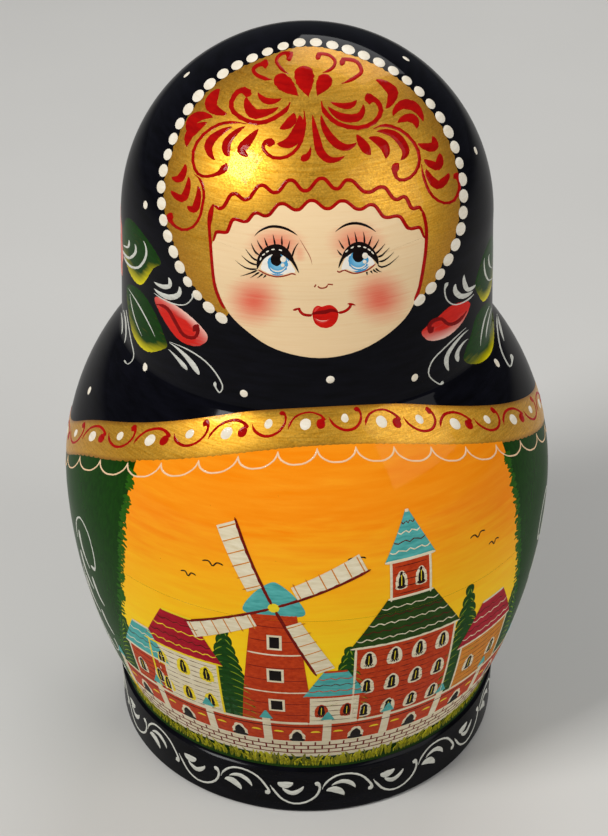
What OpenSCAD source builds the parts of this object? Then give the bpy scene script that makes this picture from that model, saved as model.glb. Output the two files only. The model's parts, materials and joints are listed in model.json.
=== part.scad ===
// Nesting doll: a set of turned wooden dolls, each standing inside the next larger one.
// Every doll but the smallest opens at a lipped seam into a bottom half and a top half.
// The dolls stand on z = 0 with their common axis on Z, and they face -Y.

/* [Outer doll] */
// Height of the largest doll, from the table to its crown
doll_h = 260; // [236:1:300]
// Diameter of the belly at its widest
belly_d = 169; // [156:1:184]
// Height of the widest place above the table
belly_z = 102; // [94:1:112]
// Radius of the arc that rises from the foot to the belly
low_arc_r = 203; // [172:1:236]
// Radius of the arc that rounds the shoulder, from the belly to the neck
up_arc_r = 90; // [82:1:105]
// Diameter of the neck, where the head stands on the shoulder
neck_d = 123.6; // [114:0.2:132]
// Radius of the hollow between shoulder and head
neck_hollow_r = 5; // [2:0.5:10]
// Diameter of the head's dome
head_d = 120; // [108:1:126]

/* [Foot ring] */
// How far the ring that the doll stands on stands out from the body above it
foot_out = 2.8; // [1.6:0.2:4]
// Height of the ring's outer wall
foot_h = 20; // [14:0.5:24]
// Radius of the cove that is turned between ring and body
cove_r = 3; // [2.5:0.5:6]
// Rounding of the ring's lower edge
foot_edge_r = 1.6; // [0.6:0.2:4]

/* [Hollow] */
// Thickness of the floor that the next doll stands on
floor_t = 10; // [6:0.5:16]
// Rounding where the floor meets the wall
floor_round = 3; // [1:0.5:4]
// Wood left at the waist above the foot ring
waist_wall = 6.5; // [4:0.25:8]
// Wood left along the shoulder
shoulder_wall = 10; // [6:0.5:13]
// Wood left at the sides of the head
head_wall = 7; // [4:0.5:10]
// Wood left over the hollow at the crown
crown_t = 16; // [8:1:24]

/* [Seam] */
// Height of the seam between the two halves
seam_z = 99; // [88:1:108]
// Height of the lip that the bottom half pushes into the top half
lip_h = 14; // [8:0.5:20]
// Thickness of the lip
lip_t = 6; // [3.5:0.25:8]
// Thickness of the top half's wall around the lip
socket_wall = 6.5; // [4:0.25:9]
// Bevel that leads the lip into its socket
lip_bevel = 1.5; // [0.5:0.25:3]
// Room between the lip's end and the end of its socket
lip_end_gap = 0.6; // [0.3:0.1:1.5]
// Push fit between lip and socket, on the radius, the same on every doll
fit_gap = 0.12; // [0.08:0.01:0.25]

/* [Nest] */
// Number of dolls in the set, with the solid one
dolls = 7; // [4:1:8]
// Room under the next doll's foot, which its lacquer takes up
seat_gap = 0.1; // [0.05:0.05:0.3]
// Room around the next doll's belly inside the lip
nest_gap = 6; // [4:0.25:9]
// Least room around the next doll's foot ring and head
side_gap = 3; // [2:0.25:5]
// Least room over the next doll's crown
head_gap = 9; // [6:0.5:20]

/* [Hidden] */
// Points on each arc of the outline
arc_steps = 9;

belly_r = belly_d / 2;
neck_r = neck_d / 2;
head_r = head_d / 2;

// Centres of the body's two arcs, which meet upright at the belly, and of the dome
low_c = [belly_r - low_arc_r, belly_z];
up_c = [belly_r - up_arc_r, belly_z];
head_c = [0, doll_h - head_r];

// The ring stands out from the low arc where its outer wall ends
foot_r = low_c[0] + sqrt(low_arc_r * low_arc_r - pow(belly_z - foot_h, 2)) + foot_out;

// The cove starts at the ring's upper edge and runs out along the low arc
foot_edge = [foot_r, foot_h];
cove_far = low_arc_r + cove_r;
cove_d = norm(foot_edge - low_c);
cove_along = (cove_far * cove_far - cove_r * cove_r + cove_d * cove_d) / (2 * cove_d);
cove_off = sqrt(cove_far * cove_far - cove_along * cove_along);
cove_u = (foot_edge - low_c) / cove_d;
cove_c = low_c + cove_along * cove_u + cove_off * [-cove_u[1], cove_u[0]];
cove_a0 = (angle(foot_edge - cove_c) + 360) % 360;
cove_a1 = angle(low_c - cove_c);

// The neck's hollow touches the shoulder arc and the upright of the neck
hollow_x = neck_r + neck_hollow_r;
hollow_z = belly_z + sqrt(pow(up_arc_r + neck_hollow_r, 2) - pow(hollow_x - up_c[0], 2));
hollow_c = [hollow_x, hollow_z];
shoulder_a = angle(hollow_c - up_c);
// The dome starts at its widest, or above the hollow where the head sits low
dome_a = max(0, asin((hollow_z - head_c[1]) / head_r));

// Outside of the largest doll from the table to the crown, as [radius, height]
skin = concat(
    arc([foot_r - foot_edge_r, foot_edge_r], foot_edge_r, -90, 0, 4),
    arc(cove_c, cove_r, cove_a0, cove_a1, 6),
    tail(arc(low_c, low_arc_r, angle(cove_c - low_c), 0, arc_steps)),
    tail(arc(up_c, up_arc_r, 0, shoulder_a, arc_steps)),
    tail(arc(hollow_c, neck_hollow_r, shoulder_a + 180, 180, 4)),
    arc(head_c, head_r, dome_a, 90, arc_steps + 3)
);
skin_by_z = [for (p = skin) [p[1], p[0]]];

// The waist is the cove's narrowest place
waist = [cove_c[0] - cove_r, cove_c[1]];
seam_r = lookup(seam_z, skin_by_z);
lip_r = seam_r - socket_wall;
lip_in_r = lip_r - lip_t;
lip_top = seam_z + lip_h;
socket_end = lip_top + lip_end_gap;

// Hollow of the top half: a shoulder arc, an upright bore and a dome
bore_r = min(neck_r, head_r) - head_wall;
bore_top = doll_h - crown_t;
room_arc_r = up_arc_r - shoulder_wall;
room_a0 = asin((socket_end - belly_z) / room_arc_r);
room_a1 = acos((bore_r - up_c[0]) / room_arc_r);

// Each doll is as much smaller than the last as the room inside that one asks for:
// at its belly, its foot ring, its head and its crown
nest_ratio = min(
    (lip_in_r - nest_gap) / belly_r,
    (waist[0] - waist_wall - side_gap) / foot_r,
    (bore_r - side_gap) / max(head_r, neck_r),
    (bore_top - head_gap - floor_t) / doll_h
);

// Size of doll i against the largest, and the height of its foot, counted from 0
function size(i) = pow(nest_ratio, i);
function stand(i) = i == 0 ? 0 : stand(i - 1) + floor_t * size(i - 1) + seat_gap;

function angle(v) = atan2(v[1], v[0]);
function arc(c, r, a0, a1, n) =
    [for (k = [0:n]) let (a = a0 + (a1 - a0) * k / n) c + r * [cos(a), sin(a)]];
function tail(list) = [for (k = [1:len(list) - 1]) list[k]];
// Part of the skin between two heights, kept clear of the cut itself
function between(z0, z1) = [for (p = skin) if (p[1] > z0 + 0.4 && p[1] < z1 - 0.4) p];

// Half section of a bottom half up to the seam, for a doll of size s
function bottom_section(s) = s * concat(
    [[0, 0], skin[0]],
    between(0, seam_z),
    [
        [seam_r, seam_z],
        [lip_in_r, seam_z],
        [waist[0] - waist_wall, waist[1]]
    ],
    arc([waist[0] - waist_wall - floor_round, floor_t + floor_round], floor_round, 0, -90, 4),
    [[0, floor_t]]
);

// Half section of the lip that stands on the bottom half's seam, for a doll of size s
function lip_section(s) = s * [
    [lip_in_r, seam_z],
    [lip_r, seam_z],
    [lip_r, lip_top - lip_bevel],
    [lip_r - lip_bevel, lip_top],
    [lip_in_r, lip_top]
];

// Half section of a top half, for a doll of size s: the push fit stays the same on every doll
function top_section(s) = concat(
    s * concat(
        [[seam_r, seam_z]],
        between(seam_z, doll_h),
        [[0, doll_h]],
        arc([0, bore_top - bore_r], bore_r, 90, 0, arc_steps),
        arc(up_c, room_arc_r, room_a1, room_a0, arc_steps - 3)
    ),
    [
        [s * lip_r + fit_gap, s * socket_end],
        [s * lip_r + fit_gap, s * seam_z]
    ]
);

// Half section of the smallest doll, which is solid
function solid_section(s) = s * concat([[0, 0], skin[0]], between(0, doll_h), [[0, doll_h]]);

function bottom_name(i) = str("doll_", i + 1, "_bottom");
function lip_name(i) = str("doll_", i + 1, "_lip");
function top_name(i) = str("doll_", i + 1, "_top");
solid_name = str("doll_", dolls, "_solid");

// Turns a half section about the doll's axis, where doll i stands
module turned(i, section) {
    translate([0, 0, stand(i)])
        rotate_extrude($fn = 96)
            polygon(section);
}

// Bottom half: foot ring, floor and belly
module doll_bottom(i) {
    color("goldenrod")
        turned(i, bottom_section(size(i)));
}

// Lip of the bottom half, which enters the top half
module doll_lip(i) {
    color("burlywood")
        turned(i, lip_section(size(i)));
}

// Top half: shoulder and head, with the socket that takes the lip
module doll_top(i) {
    color("#14141a")
        turned(i, top_section(size(i)));
}

// Smallest doll, turned from one piece
module doll_solid() {
    color("firebrick")
        turned(dolls - 1, solid_section(size(dolls - 1)));
}

for (i = [0:dolls - 2]) {
    doll_bottom(i);
    doll_lip(i);
    doll_top(i);
}
doll_solid();
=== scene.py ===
"""A nest of painted wooden dolls: turned lime wood halves under brushed and lacquered paint."""

from __future__ import annotations

import json
import logging
import math
import random
from dataclasses import dataclass, field
from enum import Enum
from functools import lru_cache
from typing import Callable, Sequence

import bmesh
import bpy
import numpy as np
from mathutils import Matrix, Vector

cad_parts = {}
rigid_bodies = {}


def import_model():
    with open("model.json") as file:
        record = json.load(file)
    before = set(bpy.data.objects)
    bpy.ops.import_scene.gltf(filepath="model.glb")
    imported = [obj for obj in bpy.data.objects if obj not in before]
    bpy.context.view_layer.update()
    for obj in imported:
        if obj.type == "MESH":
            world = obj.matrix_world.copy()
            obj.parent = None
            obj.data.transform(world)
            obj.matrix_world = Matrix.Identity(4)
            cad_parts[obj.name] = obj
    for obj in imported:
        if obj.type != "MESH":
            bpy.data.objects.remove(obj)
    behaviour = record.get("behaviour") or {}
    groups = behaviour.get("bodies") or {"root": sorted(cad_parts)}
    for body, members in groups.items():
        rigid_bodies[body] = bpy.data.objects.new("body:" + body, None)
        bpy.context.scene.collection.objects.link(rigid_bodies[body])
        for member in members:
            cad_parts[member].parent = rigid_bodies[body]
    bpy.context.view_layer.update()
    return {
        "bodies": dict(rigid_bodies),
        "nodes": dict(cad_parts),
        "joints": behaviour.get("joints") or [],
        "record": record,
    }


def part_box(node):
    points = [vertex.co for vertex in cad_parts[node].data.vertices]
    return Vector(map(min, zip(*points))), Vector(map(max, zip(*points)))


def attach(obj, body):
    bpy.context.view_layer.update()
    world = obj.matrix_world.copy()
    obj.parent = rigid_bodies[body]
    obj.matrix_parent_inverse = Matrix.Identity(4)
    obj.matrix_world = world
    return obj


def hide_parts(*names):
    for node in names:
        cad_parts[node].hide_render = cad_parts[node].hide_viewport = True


LOG = logging.getLogger("nesting_doll")

# All drawing is done in millimetres on the largest doll, and turned to metres at the end
MM = 0.001
# Points nearer to each other than this are one
WELD = 1e-4

Point = tuple[float, float]
Points = Sequence[Point]
Place = Callable[[np.ndarray, np.ndarray], np.ndarray]
Shape = Callable[[np.ndarray, np.ndarray], np.ndarray]


# Finishes


def linear(code: str) -> tuple[float, float, float, float]:
    """Turns an sRGB hex colour to linear light.

    Args:
        code: Six hex digits after a hash sign.

    Returns:
        Linear red, green, blue and an alpha of one.
    """
    parts = [int(code[k:k + 2], 16) / 255 for k in (1, 3, 5)]
    light = [c / 12.92 if c <= 0.04045 else ((c + 0.055) / 1.055) ** 2.4 for c in parts]
    return light[0], light[1], light[2], 1.0


def add_node(tree: bpy.types.NodeTree, kind: str, inputs: dict | None = None, **settings) -> bpy.types.Node:
    """Adds a shader node with its settings, values and links.

    Args:
        tree: Node tree that gets the node.
        kind: Type name of the node.
        inputs: Socket name or index to a value, or to the output socket that feeds it.
        settings: Properties of the node itself.

    Returns:
        The new node.
    """
    node = tree.nodes.new(kind)
    for name, value in settings.items():
        setattr(node, name, value)
    for name, value in (inputs or {}).items():
        socket = node.inputs[name]
        if isinstance(value, bpy.types.NodeSocket):
            tree.links.new(value, socket)
        else:
            socket.default_value = value
    return node


@dataclass(frozen=True)
class Finish:
    """A look that is made once and shared by all sheets that have it."""

    name: str

    def shader(self, tree: bpy.types.NodeTree) -> bpy.types.Node:
        """Adds the nodes of the look and gives the last one."""
        raise NotImplementedError

    def material(self) -> bpy.types.Material:
        """Makes the finish, or finds it if it was made before.

        Returns:
            The material.
        """
        made = bpy.data.materials.get(self.name)
        if made is None:
            made = bpy.data.materials.new(self.name)
            made.use_nodes = True
            made.node_tree.nodes.clear()
            last = self.shader(made.node_tree)
            add_node(made.node_tree, "ShaderNodeOutputMaterial", {"Surface": last.outputs[0]})
        return made


@dataclass(frozen=True)
class Paint(Finish):
    """Tempera brushed on wood and sealed with clear gloss lacquer.

    The eye sees a soft colour with faint brush marks under a hard, mirror-like coat.
    """

    shade: str
    streak: str
    # Colour that the paint runs into where the sheet's fade is one
    blend: str | None = None
    # Breadth of the brush marks, and how much longer they are than broad
    streak_mm: float = 1.4
    drawn_out: float = 5.0
    # Breadth of metal flakes, where the paint is a bronze powder
    flake_mm: float = 0.0
    metallic: float = 0.0
    roughness: float = 0.34
    coat: float = 0.36
    coat_roughness: float = 0.05
    coat_ior: float = 1.26
    # Reflection where the lacquer meets the paint, which is weak because both are alike
    under_gloss: float = 0.0
    relief_mm: float = 0.03
    relief: float = 0.5
    # Part of the noise that shows as brush marks
    marks_range: Point = (0.3, 0.72)
    # How the marks move the border of the second colour: gain and shift
    wander: Point = (0.16, -0.12)
    # Painted glint: brightness painted into the colour of dull and shining flakes, and what that does to the
    # roughness
    painted_glint: Point = (0.88, 1.14)
    flake_rough: Point = (-0.1, 0.14)

    def shader(self, tree: bpy.types.NodeTree) -> bpy.types.Node:
        """Adds brush marks, the run into the second colour, flakes and lacquer.

        Args:
            tree: Nodes of the material.

        Returns:
            The last node.
        """
        place = add_node(tree, "ShaderNodeTexCoord").outputs["Object"]
        # Marks run round the doll: they are stretched in X and Y and narrow in Z
        around = add_node(tree, "ShaderNodeMapping", {
            "Vector": place, "Scale": (1 / self.drawn_out, 1 / self.drawn_out, 1.0)})
        marks = add_node(tree, "ShaderNodeTexNoise", {
            "Vector": around.outputs[0], "Scale": 1 / (self.streak_mm * MM), "Detail": 3.0, "Roughness": 0.6})
        amount = add_node(tree, "ShaderNodeMapRange", {
            "Value": marks.outputs["Fac"], "From Min": self.marks_range[0], "From Max": self.marks_range[1]})
        colour = add_node(tree, "ShaderNodeMix", {
            "Factor": amount.outputs[0], "A": linear(self.shade), "B": linear(self.streak)}, data_type="RGBA")
        colour_out = colour.outputs["Result"]
        rough_out = None
        if self.blend:
            fade = add_node(tree, "ShaderNodeAttribute", attribute_name="fade")
            wander = add_node(tree, "ShaderNodeMath", {
                0: amount.outputs[0], 1: self.wander[0], 2: self.wander[1]}, operation="MULTIPLY_ADD")
            share = add_node(tree, "ShaderNodeMath", {
                0: fade.outputs["Fac"], 1: wander.outputs[0]}, operation="ADD", use_clamp=True)
            run = add_node(tree, "ShaderNodeMix", {
                "Factor": share.outputs[0], "A": colour_out, "B": linear(self.blend)}, data_type="RGBA")
            colour_out = run.outputs["Result"]
        if self.flake_mm:
            # Bronze powder: each flake lies at its own tilt, so some shine and some stay dull; the shine is painted
            # into the colour as a lighter tone, a painted glint, and the roughness changes with it
            flakes = add_node(tree, "ShaderNodeTexVoronoi", {
                "Vector": place, "Scale": 1 / (self.flake_mm * MM)})
            tone = add_node(tree, "ShaderNodeSeparateColor", {"Color": flakes.outputs["Color"]})
            painted_glint = add_node(tree, "ShaderNodeMapRange", {
                "Value": tone.outputs[0], "To Min": self.painted_glint[0], "To Max": self.painted_glint[1]})
            lit = add_node(tree, "ShaderNodeVectorMath", {
                0: colour_out, "Scale": painted_glint.outputs[0]}, operation="SCALE")
            colour_out = lit.outputs[0]
            dull, shining = (self.roughness + more for more in self.flake_rough)
            rough_out = add_node(tree, "ShaderNodeMapRange", {
                "Value": tone.outputs[1], "To Min": dull, "To Max": shining}).outputs[0]
        bump = add_node(tree, "ShaderNodeBump", {
            "Height": marks.outputs["Fac"], "Strength": self.relief, "Distance": self.relief_mm * MM})
        return add_node(tree, "ShaderNodeBsdfPrincipled", {
            "Base Color": colour_out, "Metallic": self.metallic, "Roughness": rough_out or self.roughness,
            "Specular IOR Level": self.under_gloss, "Coat Weight": self.coat,
            "Coat Roughness": self.coat_roughness, "Coat IOR": self.coat_ior, "Normal": bump.outputs[0]})


@dataclass(frozen=True)
class TurnedWood(Finish):
    """Bare lime wood off the lathe: pale and dull, with upright grain and fine tool rings."""

    name: str = "turned_lime_wood"
    pale: str = "#E3C794"
    dark: str = "#C79F62"
    grain_mm: float = 1.1
    # Height of the grain's noise against its breadth
    grain_scale: float = 0.06
    grain_range: Point = (0.32, 0.7)
    ring_mm: float = 1.6
    # Turns a spacing of rings to the scale of the wave texture
    wave_factor: float = 0.314
    relief: float = 0.35
    relief_mm: float = 0.06
    roughness: float = 0.62

    def shader(self, tree: bpy.types.NodeTree) -> bpy.types.Node:
        """Adds grain, tool rings and a dull surface.

        Args:
            tree: Nodes of the material.

        Returns:
            The last node.
        """
        place = add_node(tree, "ShaderNodeTexCoord").outputs["Object"]
        upright = add_node(tree, "ShaderNodeMapping", {"Vector": place, "Scale": (1.0, 1.0, self.grain_scale)})
        grain = add_node(tree, "ShaderNodeTexNoise", {
            "Vector": upright.outputs[0], "Scale": 1 / (self.grain_mm * MM), "Detail": 4.0, "Roughness": 0.65})
        rings = add_node(tree, "ShaderNodeTexWave", {
            "Vector": place, "Scale": self.wave_factor / (self.ring_mm * MM), "Distortion": 1.2, "Detail": 2.0},
            wave_type="BANDS", bands_direction="Z")
        amount = add_node(tree, "ShaderNodeMapRange", {
            "Value": grain.outputs["Fac"], "From Min": self.grain_range[0], "From Max": self.grain_range[1]})
        colour = add_node(tree, "ShaderNodeMix", {
            "Factor": amount.outputs[0], "A": linear(self.pale), "B": linear(self.dark)}, data_type="RGBA")
        height = add_node(tree, "ShaderNodeMath", {
            0: rings.outputs["Fac"], 1: grain.outputs["Fac"]}, operation="ADD")
        bump = add_node(tree, "ShaderNodeBump", {
            "Height": height.outputs[0], "Strength": self.relief, "Distance": self.relief_mm * MM})
        return add_node(tree, "ShaderNodeBsdfPrincipled", {
            "Base Color": colour.outputs["Result"], "Roughness": self.roughness, "Normal": bump.outputs[0]})


WOOD = TurnedWood()
BLACK = Paint("black_shawl_paint", "#060609", "#0E0E15", streak_mm=2.5)
FOOT_BLACK = Paint("black_foot_paint", "#050507", "#0D0D13", streak_mm=2.5, coat=0.4, coat_roughness=0.15)
GREEN = Paint("moss_green_side_paint", "#134004", "#0C3003", streak_mm=3.0, drawn_out=0.35)
# Bronze powder in varnish: a warm metal with single bright grains, which are a painted glint
# Its darker brown blend is painted shade towards the outer rim of the headdress; on the hem it darkens the band's
# edges
GOLD = Paint("bronze_gold_paint", "#C48A20", "#E0AC40", blend="#905614", streak_mm=0.4, drawn_out=16.0,
             flake_mm=0.35, metallic=0.75, roughness=0.46)
RED = Paint("madder_red_ornament", "#B4100C", "#94090A", streak_mm=1.0)
PEARL = Paint("cream_pearl_dots", "#F6EEDD", "#E6D8BE", streak_mm=1.2)
# The face is left nearly bare, so the wood's fine level grain shows through it
SKIN = Paint("lacquered_face_wood", "#F5D6A8", "#F1D0A0", blend="#E8604A", streak_mm=0.6, drawn_out=26.0)
EYE_WHITE = Paint("eye_white", "#F7F1E6", "#EDE4D4")
IRIS = Paint("sky_blue_iris", "#3F97C6", "#3488B8", blend="#8CCBE6", streak_mm=0.5)
INK = Paint("black_ink_line", "#120D0C", "#1D1513")
BROWN = Paint("russet_fine_line", "#A2402A", "#8C301C")
LIP = Paint("cherry_lip", "#D8180E", "#BC120C")
LIP_LIGHT = Paint("cherry_lip_light", "#E4473F", "#D83A34")
WHITE = Paint("chalk_white_stroke", "#DAD9CE", "#BDBDB2", streak_mm=0.8)
LEAF_RIM = Paint("green_leaf_with_lemon_rim", "#123E06", "#0C2E04", blend="#F2E018", streak_mm=1.2)
BUD = Paint("coral_bud", "#DB2A1F", "#C51D16", blend="#F3CDBB", streak_mm=1.2)
BUD_DARK = Paint("claret_bud_line", "#8A0A0A", "#720808")
SKY = Paint("sunset_sky", "#FB8A0C", "#FF9A1C", blend="#FFD81C", streak_mm=2.2, drawn_out=9.0)
SCALLOP = Paint("shell_pink_scallop", "#F6D3AE", "#EDC293")
BRICK = Paint("brick_red_wall", "#C8441A", "#A82E10", streak_mm=1.2, drawn_out=1.5)
BRICK_DARK = Paint("oxblood_shade", "#7A1A12", "#5F120D", streak_mm=1.0)
CREAM = Paint("cream_stone", "#E9DEC2", "#D6C6A0", streak_mm=1.0)
TEAL = Paint("teal_roof", "#5DB5AE", "#3F948F", streak_mm=1.0)
ROOF_GREEN = Paint("olive_roof", "#2C4A14", "#1D3510", streak_mm=1.0)
ROOF_RED = Paint("crimson_roof", "#B3182B", "#8E1020", streak_mm=1.0)
OCHRE = Paint("ochre_timber", "#D98A2B", "#B96C1B", streak_mm=1.0)
LEMON = Paint("lemon_accent", "#F0D830", "#E2C21E", streak_mm=1.0)
FIR = Paint("fir_green", "#1E4D16", "#123508", streak_mm=0.9)
GREEN_DAB = Paint("moss_green_dab", "#1D5209", "#2C5F0E", streak_mm=1.2, drawn_out=1.0)
LEMON_GREEN = Paint("lime_highlight", "#8FA51E", "#6F8A14", streak_mm=1.0)
SHADE = Paint("umber_shade_line", "#5A1A10", "#43120A", streak_mm=1.0)
HILL = Paint("blue_green_hill", "#2E5A2A", "#1D4420", streak_mm=1.6)
FLOOR = Paint("pale_studio_floor", "#D2D0CB", "#CDCBC6", streak_mm=400.0, drawn_out=1.0, coat=0.0, roughness=0.85,
              relief_mm=0.0)
GRASS = Paint("meadow_grass", "#1E3A0A", "#12280A", blend="#C6BC24", streak_mm=0.9, drawn_out=1.0)


# The turned form


def arc(centre: Point, radius: float, start: float, stop: float, steps: int) -> list[Point]:
    """Points along an arc.

    Args:
        centre: Centre of the arc.
        radius: Its radius.
        start: First angle in degrees.
        stop: Last angle in degrees.
        steps: Number of steps between them.

    Returns:
        The points, both ends among them.
    """
    turns = [math.radians(start + (stop - start) * k / steps) for k in range(steps + 1)]
    return [(centre[0] + radius * math.cos(a), centre[1] + radius * math.sin(a)) for a in turns]


def heading(start: Point, stop: Point) -> float:
    """Direction from one point to another, in degrees."""
    return math.degrees(math.atan2(stop[1] - start[1], stop[0] - start[0]))


@dataclass(frozen=True)
class TurnedForm:
    """Outside and hollow of the largest doll, as radius and height in millimetres."""

    height: float = 260.0
    belly_r: float = 84.5
    belly_z: float = 102.0
    low_arc_r: float = 203.0
    up_arc_r: float = 90.0
    neck_r: float = 61.8
    neck_hollow_r: float = 5.0
    head_r: float = 60.0
    foot_r: float = 70.0
    foot_h: float = 20.0
    cove_r: float = 3.0
    foot_edge_r: float = 1.6
    floor_t: float = 10.0
    floor_round: float = 3.0
    waist_wall: float = 6.5
    shoulder_wall: float = 10.0
    head_wall: float = 7.0
    crown_t: float = 16.0
    seam_z: float = 99.0
    lip_h: float = 14.0
    lip_t: float = 6.0
    socket_wall: float = 6.5
    lip_bevel: float = 1.5
    lip_end_gap: float = 0.6
    fit_gap: float = 0.12
    # Thickness of the paint, by which the bare wood lies in from the finished skin
    coat_t: float = 0.3
    # Softened edge where the two halves meet
    seam_edge: float = 0.12
    arc_steps: int = 30

    def cove(self) -> Point:
        """Centre of the cove between foot ring and body.

        Returns:
            The centre.
        """
        low = (self.belly_r - self.low_arc_r, self.belly_z)
        edge = (self.foot_r, self.foot_h)
        far = self.low_arc_r + self.cove_r
        span = math.dist(edge, low)
        along = (far * far - self.cove_r ** 2 + span * span) / (2 * span)
        off = math.sqrt(far * far - along * along)
        ux, uz = (edge[0] - low[0]) / span, (edge[1] - low[1]) / span
        return low[0] + along * ux - off * uz, low[1] + along * uz + off * ux

    def skin(self) -> list[Point]:
        """Outline of the wood from the foot to the crown.

        Returns:
            Points from the underside up.
        """
        low = (self.belly_r - self.low_arc_r, self.belly_z)
        up = (self.belly_r - self.up_arc_r, self.belly_z)
        cove, n, t, edge = self.cove(), self.arc_steps, self.coat_t, self.foot_edge_r
        hollow_x = self.neck_r + self.neck_hollow_r
        reach = self.up_arc_r + self.neck_hollow_r
        hollow = (hollow_x, self.belly_z + math.sqrt(reach ** 2 - (hollow_x - up[0]) ** 2))
        shoulder = heading(up, hollow)
        return (
            arc((self.foot_r - t - edge, edge), edge, -90, 0, 6)
            + arc(cove, self.cove_r + t, heading(cove, (self.foot_r, self.foot_h)) + 360, heading(cove, low), n // 2)
            + arc(low, self.low_arc_r - t, heading(low, cove), 0, n)[1:]
            + arc(up, self.up_arc_r - t, 0, shoulder, n)[1:]
            + arc(hollow, self.neck_hollow_r + t, shoulder + 180, 180, 8)[1:]
            + arc((0.0, self.height - self.head_r), self.head_r - t, 0, 90, 2 * n)
        )

    @lru_cache(maxsize=None)
    def outline(self) -> np.ndarray:
        """The skin's points as an array."""
        return np.array(self.skin())

    def radius(self, z: np.ndarray | float) -> np.ndarray:
        """Outer radius at each height."""
        outline = self.outline()
        return np.interp(z, outline[:, 1], outline[:, 0], right=0.0)

    def lay(self, azimuth: np.ndarray, z: np.ndarray) -> tuple[np.ndarray, np.ndarray]:
        """Finds places on the skin.

        Args:
            azimuth: Angles round the axis in radians, from the front towards +X.
            z: Heights.

        Returns:
            The points and the outward normals.
        """
        step = 0.05
        z = np.clip(z, 0.0, self.height - self.coat_t - 1e-4)
        r = self.radius(z)
        slope = (self.radius(z + step) - self.radius(z - step)) / (2 * step)
        points = np.stack([r * np.sin(azimuth), -r * np.cos(azimuth), z], axis=1)
        out = np.stack([np.sin(azimuth), -np.cos(azimuth), -slope], axis=1)
        return points, out / np.linalg.norm(out, axis=1, keepdims=True)

    def seam_r(self) -> float:
        """Outer radius at the seam."""
        return float(self.radius(self.seam_z))

    def lip(self) -> Point:
        """Outer and inner radius of the lip."""
        outer = self.seam_r() - self.socket_wall
        return outer, outer - self.lip_t

    def bottom_section(self) -> list[Point]:
        """Half section of a bottom half up to the seam.

        Returns:
            Points round the section.
        """
        soft, cove = self.seam_edge, self.cove()
        seam_r = self.seam_r()
        wall = cove[0] - self.cove_r - self.waist_wall
        return (
            [(0.0, 0.0)]
            + [p for p in self.skin() if p[1] < self.seam_z - 2 * soft]
            + [(seam_r, self.seam_z - soft), (seam_r - soft, self.seam_z), (self.lip()[1], self.seam_z),
               (wall, cove[1])]
            + arc((wall - self.floor_round, self.floor_t + self.floor_round), self.floor_round, 0, -90, 6)
            + [(0.0, self.floor_t)]
        )

    def lip_section(self) -> list[Point]:
        """Half section of the lip on a bottom half.

        Returns:
            Points round the section.
        """
        soft, top = self.seam_edge, self.seam_z + self.lip_h
        outer, inner = self.lip()
        return [(inner, self.seam_z), (outer, self.seam_z), (outer, top - self.lip_bevel),
                (outer - self.lip_bevel, top), (inner + soft, top), (inner, top - soft), (inner, self.seam_z)]

    def top_section(self) -> list[Point]:
        """Half section of a top half.

        Returns:
            Points round the section.
        """
        skin, soft = self.skin(), self.seam_edge
        seam_r = self.seam_r()
        socket = seam_r - self.socket_wall + self.fit_gap
        end = self.seam_z + self.lip_h + self.lip_end_gap
        bore = min(self.neck_r, self.head_r) - self.head_wall
        bore_top = self.height - self.crown_t
        up = (self.belly_r - self.up_arc_r, self.belly_z)
        room = self.up_arc_r - self.shoulder_wall
        first = math.degrees(math.acos((bore - up[0]) / room))
        last = math.degrees(math.asin((end - self.belly_z) / room))
        return (
            [(seam_r - soft, self.seam_z), (seam_r, self.seam_z + soft)]
            + [p for p in skin if p[1] > self.seam_z + 2 * soft]
            + arc((0.0, bore_top - bore), bore, 90, 0, self.arc_steps)
            + arc(up, room, first, last, 14)
            + [(socket, end), (socket, self.seam_z + soft), (socket + soft, self.seam_z),
               (seam_r - soft, self.seam_z)]
        )

    def solid_section(self) -> list[Point]:
        """Half section of the smallest doll."""
        return [(0.0, 0.0)] + self.skin()


FORM = TurnedForm()


# Ways of laying a flat drawing on the form


@dataclass(frozen=True)
class Viewpoint:
    """Where the picture is taken from, in millimetres and picture pixels."""

    distance: float = 507.0
    height: float = 451.9
    pitch_deg: float = 33.2
    focal_px: float = 1746.0
    width_px: int = 608
    height_px: int = 836
    axis_px: float = 307.0
    sensor_mm: float = 36.0

    def rays(self, px: np.ndarray) -> tuple[np.ndarray, np.ndarray]:
        """Sight lines through picture points.

        Args:
            px: Picture points, counted from the upper left corner.

        Returns:
            The eye's place and one direction for each point.
        """
        pitch = math.radians(self.pitch_deg)
        right = (px[:, 0] - self.axis_px) / self.focal_px
        up = (self.height_px / 2 - px[:, 1]) / self.focal_px
        ahead = math.cos(pitch) + up * math.sin(pitch)
        rise = up * math.cos(pitch) - math.sin(pitch)
        return np.array([0.0, -self.distance, self.height]), np.stack([right, ahead, rise], axis=1)

    def camera(self) -> bpy.types.Object:
        """Makes the scene's camera.

        Returns:
            The camera.
        """
        data = bpy.data.cameras.new("picture_camera")
        data.sensor_fit = "VERTICAL"
        data.sensor_height = self.sensor_mm
        data.lens = self.focal_px * self.sensor_mm / self.height_px
        made = bpy.data.objects.new("picture_camera", data)
        # The doll stands a little right of the picture's middle
        reach = math.hypot(self.distance, self.height - FORM.height / 2)
        aside = (self.axis_px - self.width_px / 2) / self.focal_px * reach
        made.location = (-aside * MM, -self.distance * MM, self.height * MM)
        made.rotation_euler = (math.radians(90 - self.pitch_deg), 0.0, 0.0)
        bpy.context.scene.collection.objects.link(made)
        return made


VIEW = Viewpoint()


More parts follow.
